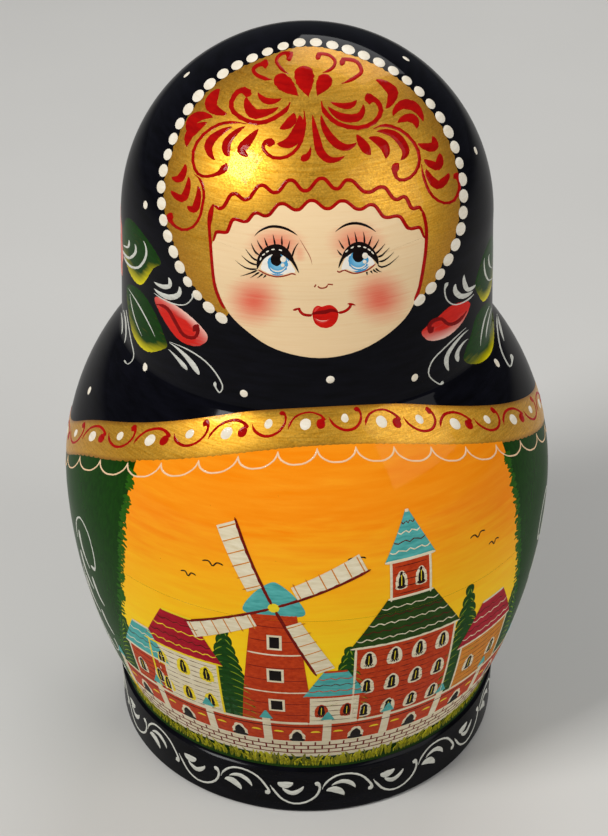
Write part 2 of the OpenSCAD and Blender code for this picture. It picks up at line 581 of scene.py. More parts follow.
class SightWrap:
    """Lays a drawing in picture pixels on the form, along the lines of sight."""

    near: float = 330.0
    far: float = 760.0
    steps: int = 220
    halvings: int = 16

    def lay(self, flat: np.ndarray) -> tuple[np.ndarray, np.ndarray]:
        """Finds where picture points meet the skin.

        Args:
            flat: Picture points.

        Returns:
            Points and outward normals: a point beside the doll goes to its nearest edge.
        """
        eye, rays = VIEW.rays(flat)
        depth = np.linspace(self.near, self.far, self.steps)

        def gap(d: np.ndarray) -> np.ndarray:
            """How far points at each depth lie off the skin."""
            at = eye + rays[:, None, :] * d[..., None]
            return np.hypot(at[..., 0], at[..., 1]) - FORM.radius(at[..., 2])

        apart = gap(np.broadcast_to(depth, (len(flat), self.steps)))
        inside = apart < 0
        hit = inside.any(axis=1)
        index = np.where(hit, inside.argmax(axis=1), apart.argmin(axis=1))
        low, high = depth[np.maximum(index - 1, 0)], depth[index]
        for _ in range(self.halvings):
            middle = (low + high) / 2
            within = gap(middle[:, None])[:, 0] < 0
            high = np.where(within, middle, high)
            low = np.where(within, low, middle)
        at = eye + rays * np.where(hit, high, depth[index])[:, None]
        return FORM.lay(np.arctan2(at[:, 0], -at[:, 1]), at[:, 2])


@dataclass(frozen=True)
class GirthWrap:
    """Lays a drawing in millimetres round the form: X along the girth and Y up the axis."""

    azimuth_deg: float = 0.0
    height: float = 0.0
    girth_r: float = 60.0
    mirror: float = 1.0

    def lay(self, flat: np.ndarray) -> tuple[np.ndarray, np.ndarray]:
        """Points and outward normals for flat points."""
        azimuth = math.radians(self.azimuth_deg) + self.mirror * flat[:, 0] / self.girth_r
        return FORM.lay(azimuth, self.height + flat[:, 1])


@dataclass(frozen=True)
class HemWrap:
    """Lays a drawing along the shawl's hem, which rises to the breast and hangs low behind."""

    front_z: float = 158.9
    back_z: float = 113.0
    drape: float = 1.85
    # Where the hem sags on the viewer's left, over what angle and how far
    sag_at: float = math.radians(-85.0)
    sag_spread: float = math.radians(14.0)
    sag: float = 7.0
    # How much higher the hem is on the viewer's right
    tilt: float = 4.0
    girth_r: float = 75.0

    def middle(self, azimuth: np.ndarray) -> np.ndarray:
        """Height of the hem's middle line at each angle.

        Args:
            azimuth: Angles round the axis in radians.

        Returns:
            One height for each angle.
        """
        share = ((1 + np.cos(azimuth)) / 2) ** self.drape
        turned = np.arctan2(np.sin(azimuth), np.cos(azimuth))
        sag = self.sag * np.exp(-(((turned - self.sag_at) / self.sag_spread) ** 2))
        return self.back_z + (self.front_z - self.back_z) * share + self.tilt * np.sin(azimuth) * share ** 0.5 - sag

    def height(self, azimuth: np.ndarray, along: np.ndarray) -> np.ndarray:
        """Height of places measured up the skin from the hem's middle line.

        Args:
            azimuth: Angles round the axis in radians.
            along: Distances up the skin.

        Returns:
            One height for each place.
        """
        z = self.middle(azimuth)
        slope = (FORM.radius(z + 1.0) - FORM.radius(z - 1.0)) / 2.0
        return z + along / np.sqrt(1 + np.minimum(slope, 0.0) ** 2)

    def lay(self, flat: np.ndarray) -> tuple[np.ndarray, np.ndarray]:
        """Points and outward normals for flat points."""
        azimuth = flat[:, 0] / self.girth_r
        return FORM.lay(azimuth, self.height(azimuth, flat[:, 1]))


SIGHT = SightWrap()
HEM = HemWrap()


# Brushwork


class Taper(Enum):
    """How a brush stroke swells along its length."""

    LINE = "line"
    LEAF = "leaf"
    COMMA = "comma"
    DROP = "drop"
    HOOK = "hook"

    def swell(self, t: np.ndarray) -> np.ndarray:
        """Share of the full width at each place along the stroke.

        Args:
            t: Places along the stroke, from 0 to 1.

        Returns:
            One share for each place.
        """
        if self is Taper.LEAF:
            return np.sin(np.pi * t) ** 0.68
        if self is Taper.COMMA:
            return np.sqrt(np.clip(t / 0.22, 0, 1)) * (1 - t) ** 0.75 * 1.18
        if self is Taper.DROP:
            return t * np.sqrt(1 - t ** 3) * 1.75
        if self is Taper.HOOK:
            blob = np.exp(-((t - 0.93) / 0.07) ** 2)
            return (0.42 + 0.58 * blob) * np.sqrt(np.clip((1 - t) / 0.05, 0, 1)) * np.clip(t / 0.1, 0.3, 1)
        return np.sqrt(np.clip(np.minimum(t, 1 - t) / 0.06, 0, 1))


@dataclass(frozen=True)
class Stroke:
    """One brush stroke: its swell, its full width and the points that it runs through."""

    taper: Taper
    width: float
    points: Points

    def along(self, start: float, step: float) -> Stroke:
        """The stroke in one repeat of a border, where its X is a share of the repeat."""
        return Stroke(self.taper, self.width, tuple((start + u * step, y) for u, y in self.points))


def line(width: float, *points: Point) -> Stroke:
    """A stroke of even width."""
    return Stroke(Taper.LINE, width, points)


def leaf(width: float, *points: Point) -> Stroke:
    """A stroke that is pointed at both ends."""
    return Stroke(Taper.LEAF, width, points)


def path(text: str) -> tuple[tuple[float, ...], ...]:
    """Listed points, written as numbers with commas and set apart by spaces."""
    return tuple(tuple(float(number) for number in point.split(",")) for point in text.split())


def paths(text: str) -> tuple[Points, ...]:
    """Listed rows of points, one on each line."""
    return tuple(path(row) for row in text.strip().splitlines())


def strokes(text: str) -> tuple[Stroke, ...]:
    """Listed strokes, one on each line: swell, full width and points."""
    rows = (row.split(maxsplit=2) for row in text.strip().splitlines())
    return tuple(Stroke(Taper(taper), float(width), path(points)) for taper, width, points in rows)


def lead(end: np.ndarray, second: np.ndarray, third: np.ndarray) -> np.ndarray:
    """Point just outside a curve's end that keeps the bend of its first three points.

    Args:
        end: End of the curve.
        second: Point next to it.
        third: Point after that.

    Returns:
        The point.
    """
    first, then = complex(*(second - end)), complex(*(third - second))
    bend = first / abs(first) * abs(then) / then if abs(first) * abs(then) else 1.0
    back = first * bend
    return end - np.array([back.real, back.imag])


def curve(points: Points, t: np.ndarray, closed: bool = False) -> np.ndarray:
    """Smooth curve through given points.

    Args:
        points: Points that the curve runs through.
        t: Places along it, from 0 to 1.
        closed: Whether it returns to its start.

    Returns:
        One point for each place.
    """
    p = np.array(points, float)
    if closed:
        p = np.vstack([p[-1:], p, p[:2]])
    elif len(p) == 2:
        p = np.vstack([2 * p[0] - p[1], p, 2 * p[1] - p[0]])
    else:
        p = np.vstack([lead(*p[:3]), p, lead(*p[:-4:-1])])
    spans = len(p) - 3
    s = np.clip(t, 0, 1) * spans
    k = np.minimum(s.astype(int), spans - 1)
    f = (s - k)[:, None]
    a, b, c, d = p[k], p[k + 1], p[k + 2], p[k + 3]
    return 0.5 * (2 * b + (c - a) * f + (2 * a - 5 * b + 4 * c - d) * f ** 2 + (3 * b - a - 3 * c + d) * f ** 3)


def rounded(points: Points) -> Points:
    """Wave through its crests and troughs, with a point on each flank that keeps both round.

    Args:
        points: Points that it runs through.

    Returns:
        The fuller row of points.
    """
    made = [points[0]]
    for (ax, ay), (bx, by) in zip(points, points[1:]):
        dx, dy = 0.28 * (bx - ax), 0.14 * (by - ay)
        made += [(ax + dx, ay + dy), (bx - dx, by - dy), (bx, by)]
    return tuple(made)


def even(points: Points, count: int) -> np.ndarray:
    """Points at equal steps along a smooth curve.

    Args:
        points: Points that it runs through.
        count: How many are wanted.

    Returns:
        The points.
    """
    t = np.linspace(0, 1, 600)
    p = curve(points, t)
    run = np.concatenate([[0], np.cumsum(np.linalg.norm(np.diff(p, axis=0), axis=1))])
    return curve(points, np.interp(np.linspace(0, run[-1], count), run, t))


class Brush:
    """Lays paint on the skin, one small sheet of mesh for each stroke."""

    # How far the edges of a sheet reach into the coat below
    sink: float = 0.02

    def __init__(self, wrap: SightWrap | GirthWrap | HemWrap, detail: float) -> None:
        """Starts an empty coat.

        Args:
            wrap: How flat drawings go on the form.
            detail: Share of the full mesh density.
        """
        self.mesh = bmesh.new()
        self.fade = self.mesh.verts.layers.float.new("fade")
        self.paints: list[Paint] = []
        self.wrap = wrap
        self.detail = detail

    def sheet(self, paint: Paint, across: tuple[int, int], place: Place, lift: Shape,
              fade: Shape | None = None) -> None:
        """Lays one sheet.

        Args:
            paint: Finish of the sheet.
            across: Faces along and across the sheet.
            place: Flat place for each pair of sheet coordinates from 0 to 1.
            lift: Height over the skin in millimetres.
            fade: How far the paint runs into its second colour.
        """
        if paint not in self.paints:
            self.paints.append(paint)
        made = bmesh.ops.create_grid(self.mesh, x_segments=across[0], y_segments=across[1], size=0.5)["verts"]
        u, v = (np.array([(p.co.x, p.co.y) for p in made]) + 0.5).T
        at, out = self.wrap.lay(place(u, v))
        at = at + out * lift(u, v)[:, None]
        shares = fade(u, v) if fade else np.zeros(len(u))
        faces = set()
        for vert, co, share in zip(made, at, shares):
            vert.co = co
            vert[self.fade] = share
            faces.update(vert.link_faces)
        largest = max(faces, key=lambda f: f.calc_area())
        largest.normal_update()
        facing = Vector(out[made.index(largest.verts[0])])
        if largest.normal.dot(facing) < 0:
            bmesh.ops.reverse_faces(self.mesh, faces=list(faces))
        for face in faces:
            face.material_index = self.paints.index(paint)
            face.smooth = True

    def stroke(self, paint: Paint, stroke: Stroke, base: float = 0.06, body: float = 0.12,
               fade: Shape | None = None, steps: int = 0) -> None:
        """Draws one brush stroke.

        Args:
            paint: Finish of the stroke.
            stroke: Its path and swell.
            base: Height of the coat that it lies on.
            body: How far the paint stands up at the middle.
            fade: How far the paint runs into its second colour.
            steps: Faces along the stroke, or 0 to choose by the number of points.
        """
        def place(u: np.ndarray, v: np.ndarray) -> np.ndarray:
            """Flat places for places on the sheet.

            Args:
                u: Places along the sheet, from 0 to 1.
                v: Places across it.

            Returns:
                One flat point for each.
            """
            t = (1 - np.cos(np.pi * u)) / 2
            ahead, behind = curve(stroke.points, t + 0.004), curve(stroke.points, t - 0.004)
            way = ahead - behind
            way /= np.maximum(np.linalg.norm(way, axis=1, keepdims=True), 1e-9)
            side = np.stack([-way[:, 1], way[:, 0]], axis=1)
            half = stroke.width / 2 * stroke.taper.swell(t)
            return curve(stroke.points, t) + side * ((2 * v - 1) * half)[:, None]

        count = max(5, round((steps or min(26, 6 + 3 * len(stroke.points))) * self.detail))
        self.sheet(paint, (count, 4), place,
                   lambda u, v: base - self.sink + (body + self.sink) * (1 - (2 * v - 1) ** 2), fade)

    def dot(self, paint: Paint, centre: Point, size: Point, base: float = 0.06, body: float = 0.25,
            turn_deg: float = 0.0, fade: Shape | None = None, steps: int = 14) -> None:
        """Sets down a round dot.

        Args:
            paint: Finish of the dot.
            centre: Its middle.
            size: Its half width and half height.
            base: Height of the coat that it lies on.
            body: How far it stands up at the middle.
            turn_deg: Turn of its longer side.
            fade: How far the paint runs into its second colour, over angle and radius.
            steps: Faces round the dot.
        """
        turn = math.radians(turn_deg)

        def place(u: np.ndarray, v: np.ndarray) -> np.ndarray:
            """Flat places for places on the sheet.

            Args:
                u: Places along the sheet, from 0 to 1.
                v: Places across it.

            Returns:
                One flat point for each.
            """
            x, y = size[0] * v * np.cos(2 * np.pi * u), size[1] * v * np.sin(2 * np.pi * u)
            return np.stack([centre[0] + x * math.cos(turn) - y * math.sin(turn),
                             centre[1] + x * math.sin(turn) + y * math.cos(turn)], axis=1)

        self.sheet(paint, (max(8, round(steps * self.detail)), 3), place,
                   lambda u, v: base - self.sink + (body + self.sink) * np.sqrt(1 - 0.999 * v ** 2), fade)

    def blob(self, paint: Paint, outline: Points, centre: Point, base: float = 0.02, body: float = 0.06,
             rings: int = 6, steps: int = 48, fade: Shape | None = None) -> None:
        """Fills a closed outline, flat with a thin edge.

        Args:
            paint: Finish of the fill.
            outline: Points round its edge.
            centre: Point that all of its edge can be seen from.
            base: Height of the coat that it lies on.
            body: Thickness of the paint.
            rings: Faces from the middle to the edge.
            steps: Faces round the edge.
            fade: How far the paint runs into its second colour, over angle and radius.
        """
        middle = np.array(centre, float)
        self.sheet(paint, (steps, rings),
                   lambda u, v: middle + (curve(outline, u % 1.0, True) - middle) * v[:, None],
                   lambda u, v: np.where(v > 0.995, base - self.sink, base + body), fade)

    def quad(self, paint: Paint, corners: Sequence[Point], base: float = 0.06, body: float = 0.05,
             across: tuple[int, int] = (8, 6), fade: Shape | None = None) -> None:
        """Fills a four-cornered patch.

        Args:
            paint: Finish of the fill.
            corners: Lower left, lower right, upper right and upper left corner.
            base: Height of the coat that it lies on.
            body: Thickness of the paint.
            across: Faces along and up the patch.
            fade: How far the paint runs into its second colour.
        """
        a, b, c, d = (np.array(p, float) for p in corners)
        self.sheet(paint, across,
                   lambda u, v: ((1 - u) * (1 - v))[:, None] * a + (u * (1 - v))[:, None] * b
                   + (u * v)[:, None] * c + ((1 - u) * v)[:, None] * d,
                   lambda u, v: np.full(len(u), base + body), fade)

    def close(self, name: str) -> bpy.types.Mesh:
        """Ends the coat: welds the seams and poles of its sheets and makes a mesh.

        Args:
            name: Name of the mesh.

        Returns:
            The mesh, in millimetres on the largest doll.
        """
        bmesh.ops.remove_doubles(self.mesh, verts=self.mesh.verts[:], dist=WELD)
        made = bpy.data.meshes.new(name)
        self.mesh.to_mesh(made)
        self.mesh.free()
        for paint in self.paints:
            made.materials.append(paint.material())
        return made


# Brushwork of each area

# Flat drawings with X in degrees and Y in millimetres of height
DEGREES = GirthWrap(girth_r=math.degrees(1.0))


def rim(middle: float, spread: float, start: float = 0.6) -> Shape:
    """A fade that colours part of a patch's edge.

    Args:
        middle: Place round the outline, from 0 to 1, where the edge is coloured most.
        spread: How far round the outline the colour goes.
        start: Share of the way to the edge where the colour starts.

    Returns:
        The fade over angle and radius.
    """
    def share(u: np.ndarray, v: np.ndarray) -> np.ndarray:
        """Share of the second colour at places on the patch."""
        near = np.exp(-((((u - middle + 0.5) % 1.0) - 0.5) / spread) ** 2)
        return near * np.clip((v - start) / (1 - start), 0, 1)

    return share


@dataclass(frozen=True)
class Ornament:
    """Brushwork that covers one area of a doll."""

    name: str
    wrap: SightWrap | GirthWrap | HemWrap = SIGHT

    def draw(self, brush: Brush) -> None:
        """Lays all its strokes."""
        raise NotImplementedError

    def coat(self, detail: float) -> bpy.types.Mesh:
        """Makes the mesh of its strokes.

        Args:
            detail: Share of the full mesh density.

        Returns:
            The mesh, in millimetres on the largest doll.
        """
        brush = Brush(self.wrap, detail)
        self.draw(brush)
        made = brush.close(self.name)
        LOG.info("%s at detail %.2f: %d faces", self.name, detail, len(made.polygons))
        return made


# The red vine on the headdress: petals and curls in the middle, then the left and the right side
VINE = strokes("""
    drop 21 308,97 305,84 302.5,66
    drop 17 298,96 289,88 275,76
    drop 16 316.5,96 321,87 328,75
    hook 6 288,73.5 276,62 281,54 291.5,53.5 286,58.5
    hook 7 271,79.5 258,76 253,70 258,65 268,64.5
    hook 6 322,72.5 332,68 334.5,61 328,55 318,54 320,58
    hook 7 341,83.5 357,76 361,70 355,61 342,59.5 344.5,63
    leaf 6 257.5,92.5 263,99.5 271,101.5 281,98.5
    leaf 10 246,97 249,109 257,114 278,107
    hook 9 289.5,102.5 283,112 265,122 248,121.5 233,112 231,102 237,92 245,90.5 244,96
    leaf 11 219.5,89 212,99 212,108 226.5,113.5
    leaf 9 212.5,117.5 200,116 191,121.5 186.5,131
    leaf 8 207,122.5 196,128 188.5,136 186.5,147
    hook 6 246,124 229,122.5 215,126 200,137.5 192.5,153 194,168 200,175.5 210,176 221,171.5 226,163
    leaf 8 232,127 214,137 208,148 214.5,160
    leaf 8 245,126.5 228,140 226,151 229.5,156
    leaf 9 258,129 248,141 241,150 248,156
    leaf 7 171.5,177 180,178 184.5,164
    leaf 7 171,190.5 183,198 187.5,177
    leaf 7 187,206 195,208 197,186
    hook 5.5 194,174.5 201,182 203.5,195 202,205 200,215 193.7,226 183.4,230 174.5,226 169.4,219 172,213
    hook 7 303.5,111 303.5,128 299,145 287,156.5 272,157.5 263,149 265,142.5 274,144.5
    leaf 9 293,113 290,122 279,128.5
    leaf 12 299,115 298,130 290,142 276.5,143.5
    leaf 8 312,115 315.5,135 320,152 330,160 344,156
    leaf 8 320.5,115 325,130 335,143 346,147.5 356,142.5
    drop 8 310,146 307,156 300,158.5
    leaf 6 330,102 343,106 351,105 356,100
    leaf 8 327.5,106.5 341,117 358,117 362.5,104.5
    hook 9 321,101.5 325,113 338,124 358,128 374,122 380.5,111 377,102 371,99 364.5,100.5
    leaf 10 375,80 389,88 392,96 385,108.5
    leaf 9 392.5,116 401,105 414,107 422.5,121.5
    leaf 8 397,123 406,118 414,120 416,128.5
    hook 6.5 373,129 386,125.5 403,132 415.5,146 419,160 415,172 406,179.5 397,179 394,170 398.5,163.5
    leaf 9 356,134.5 364,147 370,155
    leaf 9 368,138 383,145 385,158.5
    leaf 8 376,131.5 394,135 405,150 400,160
    leaf 8 417,143.5 427,147 434,146 431.5,136.5
    leaf 8 424,159 437,166 438.5,153.5
    leaf 8 426,169 437,185 448,173
    hook 5.5 421,164 424,180 431,195 443,203 454,200 459,187 457,178 453,174.5
""")


@dataclass(frozen=True)
class Headdress(Ornament):
    """Gold headdress with a red vine, edged by a string of painted pearls."""

    name: str = "headdress"
    pearls: int = 45
    # Half length along the string and half width
    pearl_px: Point = (6.4, 4.3)
    string: Points = path("""
        221,318 188,283 167,235 161,201 164,166 183,117 214,80 259,55 309,42 366,56.5 413,86 446,128 461.5,177 460,230
        438,277 419,300
        """)
    under_face: Points = path("398,306 318,336 240,306")
    middle: Point = (312, 200)
    # How much fuller than its drawn width each kind of stroke is
    boldness: dict = field(default_factory=lambda: {Taper.HOOK: 1.4, Taper.LEAF: 1.18})

    def draw(self, brush: Brush) -> None:
        """Lays the gold, darkened by painted shade towards its rim, then the vine, then the pearls.

        Args:
            brush: Where the paint goes.
        """
        # Painted shade: the gold runs into its darker blend towards its outer rim, except at the lower end round the
        # face
        brush.blob(GOLD, self.string + self.under_face, self.middle, 0.0, 0.05, rings=26, steps=120,
                   fade=lambda u, v: 0.5 * np.clip((v - 0.8) / 0.2, 0, 1) * (u < 0.8))
        for stroke in VINE:
            bold = self.boldness.get(stroke.taper, 1.0)
            brush.stroke(RED, Stroke(stroke.taper, stroke.width * bold, stroke.points), 0.05, 0.1, steps=24)
        rng = random.Random(2)
        spots = even(self.string, self.pearls)
        for here, way in zip(spots, np.gradient(spots, axis=0)):
            size = rng.uniform(0.9, 1.1)
            brush.dot(PEARL, tuple(here), (self.pearl_px[0] * size, self.pearl_px[1] * size), 0.05, 0.22,
                      heading((0, 0), way))


@dataclass(frozen=True)
class Eye:
    """One eye as picture points: each line runs from the outer to the inner corner."""

    # Middle of the dark band under the upper lid
    lid: Points
    low: Points
    brow: Points
    iris: Point
    pupil: Point
    # Light that shows through the band: places and slants in degrees
    chinks: tuple[tuple[float, float, float], ...]
    # Each lash from its root to its tip
    lashes: tuple[Points, ...]
    iris_px: float = 11.9
    pupil_px: Point = (6.0, 6.8)
    band_px: float = 9.6

    def draw(self, brush: Brush) -> None:
        """Paints white, iris, lid, lashes and brow.

        Args:
            brush: Where the paint goes.
        """
        middle = tuple(np.mean(self.lid + self.low, axis=0))
        brush.blob(EYE_WHITE, self.lid + self.low[::-1][1:-1], middle, 0.1, 0.03, rings=4)
        brush.dot(IRIS, self.iris, (self.iris_px, self.iris_px), 0.14, 0.01,
                  fade=lambda u, v: np.clip(1.1 - 1.3 * v, 0, 1), steps=28)
        glow = [(self.iris[0] + 8.6 * math.cos(a), self.iris[1] + 7.6 * math.sin(a))
                for a in np.linspace(0.25, 2.7, 6)]
        brush.stroke(PEARL, leaf(1.7, *glow), 0.15, 0.02, steps=12)
        brush.dot(INK, self.pupil, self.pupil_px, 0.16, 0.02, steps=20)
        brush.stroke(BROWN, line(1.5, *self.low), 0.13, 0.05)
        brush.stroke(INK, leaf(self.band_px, *self.lid[:-1]), 0.16, 0.04, steps=28)
        brush.stroke(INK, leaf(3.0, *self.lid[-4:]), 0.17, 0.04, steps=12)
        for x, y, slant in self.chinks:
            brush.dot(PEARL, (x, y), (1.9, 0.75), 0.21, 0.02, slant, steps=8)
        brush.dot(PEARL, (self.pupil[0] + 6.7, self.pupil[1] - 0.4), (2.9, 3.1), 0.19, 0.05, steps=12)
        brush.dot(PEARL, (self.pupil[0] + 6.2, self.pupil[1] + 5.6), (1.9, 1.9), 0.19, 0.05, steps=10)
        brush.stroke(INK, leaf(3.3, *self.brow), 0.11, 0.08, steps=20)
        for lash in self.lashes:
            brush.stroke(INK, Stroke(Taper.COMMA, 2.1, lash), 0.15, 0.06, steps=9)


LEFT_EYE = Eye(
    path("257,269 260,258.5 266.5,251.6 275,248.8 282,250.4 288.6,256.2 294,264 298.3,272.8"),
    path("257.5,269.6 262,272 267,274.5 275,276.5 281,276.3 287,275 291.5,273.6 295.5,275"),
    path("254,236.2 260,230.5 268,227 276,226.5 285,228.5 292,232 297,235.5"), (277.2, 263.7), (276, 259.5),
    path("260.2,258.6,-70 263.2,254.4,-35 267,251.4,-25 272.6,249.3,-5 280,250,18"), paths("""
        257,268.5 250,269 243,266.5 235,260
        258,265 250.5,263 245.5,259.5 241,255
        259,261 253,258.5 248.5,253.5 245,248.5
        259,255 255,252 252,246.5 251,243
        262.5,250 259,245 256.6,239.5
        267,246.6 265.3,242 263.8,237.4
        274.6,245 273.6,239.5 272.4,234
        281.6,245.6 281.3,240 281.5,235.4
        286.8,250.4 288.3,245 289.4,240.4
        291.4,258 294,249 298.2,242.6
        257,270 250,273 240,276
        259,272 255,274.5 249.6,278
        262.5,273.5 260,275.5 256.6,278
        265.5,275 264.3,276.3 262.6,277.8
        """))
RIGHT_EYE = Eye(
    path("377.6,264.6 374.4,257.4 369.5,251.6 363.6,247.6 357,246.4 350.6,249 345,254 341,260 338,268"),
    path("375,263.5 371,267 366.5,270 360,272.3 353.5,273.3 348,271.7 343.5,270 339,272 336.5,270.5"),
    path("375.5,232 370,228 364,225 356,223.2 348,224 341,227 334.6,232"), (357.7, 260.5), (357.7, 256),
    path("371.8,252.6,50 368.4,249.7,35 364,247.3,15 358.4,246.2,0 351.6,247.4,-30 346,251,-42"), paths("""
        377,264.5 381,267 387,265 392,261.5 398,255.5
        378,261.4 383,260.5 388,257 393.2,251.6
        376,257 381,255.5 384.5,252 389,247.4
        374,254.4 379,250 384.2,243.6
        371.6,250 375.5,244.5 378.2,239
        367.6,246.4 369.5,241 371.4,235.6
        363.7,243.6 363.6,237.5 362.4,231.4
        356.2,243.2 355.2,237.5 353.8,231.4
        349,246 348,240 346.5,234.4
        343.4,249 340.5,244.5 337.8,239.6
        341.4,255.4 338.5,252.5 336.5,249.4
        375,268 377.5,270.5 381,271.9
        372.5,269.2 374.5,271.3 377.4,272.7
        370,270.5 370.8,271.9 372.2,273.4
        366.3,271.5 366.3,273.2 366.6,275.2
        """))


@dataclass(frozen=True)
class Face(Ornament):
    """Doll's face on lacquered wood under two scalloped red lines."""

    name: str = "face"
    middle: Point = (318, 280)
    # Scalloped red lines over the forehead: the skin starts at the lower one
    low_wave: Points = path("""
        212,241 216.5,232 225,232.6 233.5,219.4 244.5,221.7 255.5,213.2 265,216 281,203.8 296,210 311,200.6 327,208.8
        342,201 359,209.4 371,204.8 386,217.6 397,216.2 410,228.8 418.5,227.6 425,238
        """)
    high_wave: Points = path("""
        212.5,205.5 219.5,208.4 233.5,193.8 245,199.6 261,185.4 274.5,192.6 290,180.2 304.5,190.8 321,178.4 336,188.8
        347.5,180 367,192.2 381.5,187 396,199.4 403.5,196.8 412.5,208.4 418.5,207.4 422,211
        """)
    cheeks: Points = path("""
        424.5,257 415,300 396,327 360,350 318,358 275,349 243,328 224,306 213.5,276 211,257
        """)
    # Rouge on cheeks and eyelids: middle, half width, half height and strength
    rouge: tuple[tuple[Point, float, float, float], ...] = (
        ((254, 301), 38, 34, 0.98), ((379, 297), 39, 35, 0.98), ((276, 245), 38, 26, 0.82),
        ((356, 242), 38, 27, 0.82), ((299, 253), 9, 14, 0.45))
    lips: Points = path("""
        311,313.5 311.5,310 313.5,306.5 317,304.7 320.5,305.8 323.5,305.2 327,304.2 331,304.3 335,306.5 338,310
        338.8,313.5 338.3,317.5 336.5,322 332.5,326.3 326.5,328.6 320,327.8 315,324.8 312.2,320.5
        """)
    lips_middle: Point = (325, 316)
    lip_paints: tuple[Paint, ...] = (BUD_DARK, LIP_LIGHT, PEARL, LIP_LIGHT)
    lip_strokes: tuple[Stroke, ...] = strokes("""
        leaf 5 310.6,314.2 317,312.4 325,311.6 331,310 338.6,312.8
        leaf 3.6 313.6,317.6 318,320.6 323,321.4 329,319
        leaf 1.3 315.6,318.6 319,320.4 323,320.8 327.4,319.6
        leaf 2.4 313.8,312 316,309 319,307
        """)
    smile: tuple[Stroke, ...] = strokes("""
        line 3.1 311.6,315 306,315 302,313.6 299.5,310.8 298.3,307.4
        leaf 2.6 292.2,309.8 295,309.4 299,307.6
        line 3.1 338,312.6 343,311.6 347,309.4 349.5,306.5 350,303.8
        leaf 2.6 346.8,303.8 350.5,303.9 355,305.2
        """)
    nose: tuple[Stroke, ...] = strokes("""
        line 1.8 313.7,287 315.6,284.4
        line 1.8 317.4,285.8 319,287.6 322,288.1 325.5,287 327,284.8
        line 1.7 327,284.3 329,284.2 332.4,284.6
        """)
    fold: Points = path("298.5,238 304.5,248 309.5,257 311.5,265")
    # Red lines down both sides of the face
    sides: tuple[Stroke, ...] = strokes("""
        line 3.1 213,204 209,224 210,243 211.5,262 214,284 218.6,298 224.4,309
        line 3.4 421,209 425.5,226 425.5,245 423,266 419,287 413.6,300.6
        leaf 5.2 213,203.6 210,215 208.4,232
        """)
    eyes: tuple[Eye, ...] = (LEFT_EYE, RIGHT_EYE)

    def draw(self, brush: Brush) -> None:
        """Paints skin, cheeks, eyes, nose, mouth and the red lines.

        Args:
            brush: Where the paint goes.
        """
        middle, outline = np.array(self.middle), rounded(self.low_wave) + self.cheeks

        def place(u: np.ndarray, v: np.ndarray) -> np.ndarray:
            """Flat places for places on the sheet."""
            return middle + (curve(outline, u % 1.0, True) - middle) * v[:, None]

        def rouge(u: np.ndarray, v: np.ndarray) -> np.ndarray:
            """Share of the rouge at places on the face.

            Args:
                u: Places along the sheet, from 0 to 1.
                v: Places across it.

            Returns:
                One share for each.
            """
            at, most = place(u, v), np.zeros(len(u))
            for (x, y), wide, high, strength in self.rouge:
                far = np.hypot((at[:, 0] - x) / wide, (at[:, 1] - y) / high)
                near = np.clip(1 - far, 0, 1)
                most = np.maximum(most, strength * near * near * (3 - 2 * near))
            return most

        brush.sheet(SKIN, (325, 36), place, lambda u, v: np.where(v > 0.995, 0.04, 0.11), rouge)
        for eye in self.eyes:
            eye.draw(brush)
        brush.stroke(BROWN, leaf(1.1, *self.fold), 0.11, 0.03)
        for stroke in self.nose:
            brush.stroke(BROWN, stroke, 0.11, 0.05)
        brush.blob(LIP, self.lips, self.lips_middle, 0.11, 0.06, rings=4, steps=72)
        for paint, stroke in zip(self.lip_paints, self.lip_strokes):
            brush.stroke(paint, stroke, 0.17, 0.04, steps=16)
        for stroke in self.smile:
            brush.stroke(RED, stroke, 0.12, 0.05, steps=14)
        for stroke in self.sides:
            brush.stroke(RED, stroke, 0.1, 0.08, steps=36)
        for wave in (self.low_wave, self.high_wave):
            brush.stroke(RED, line(3.8, *rounded(wave)), 0.1, 0.08, steps=240)


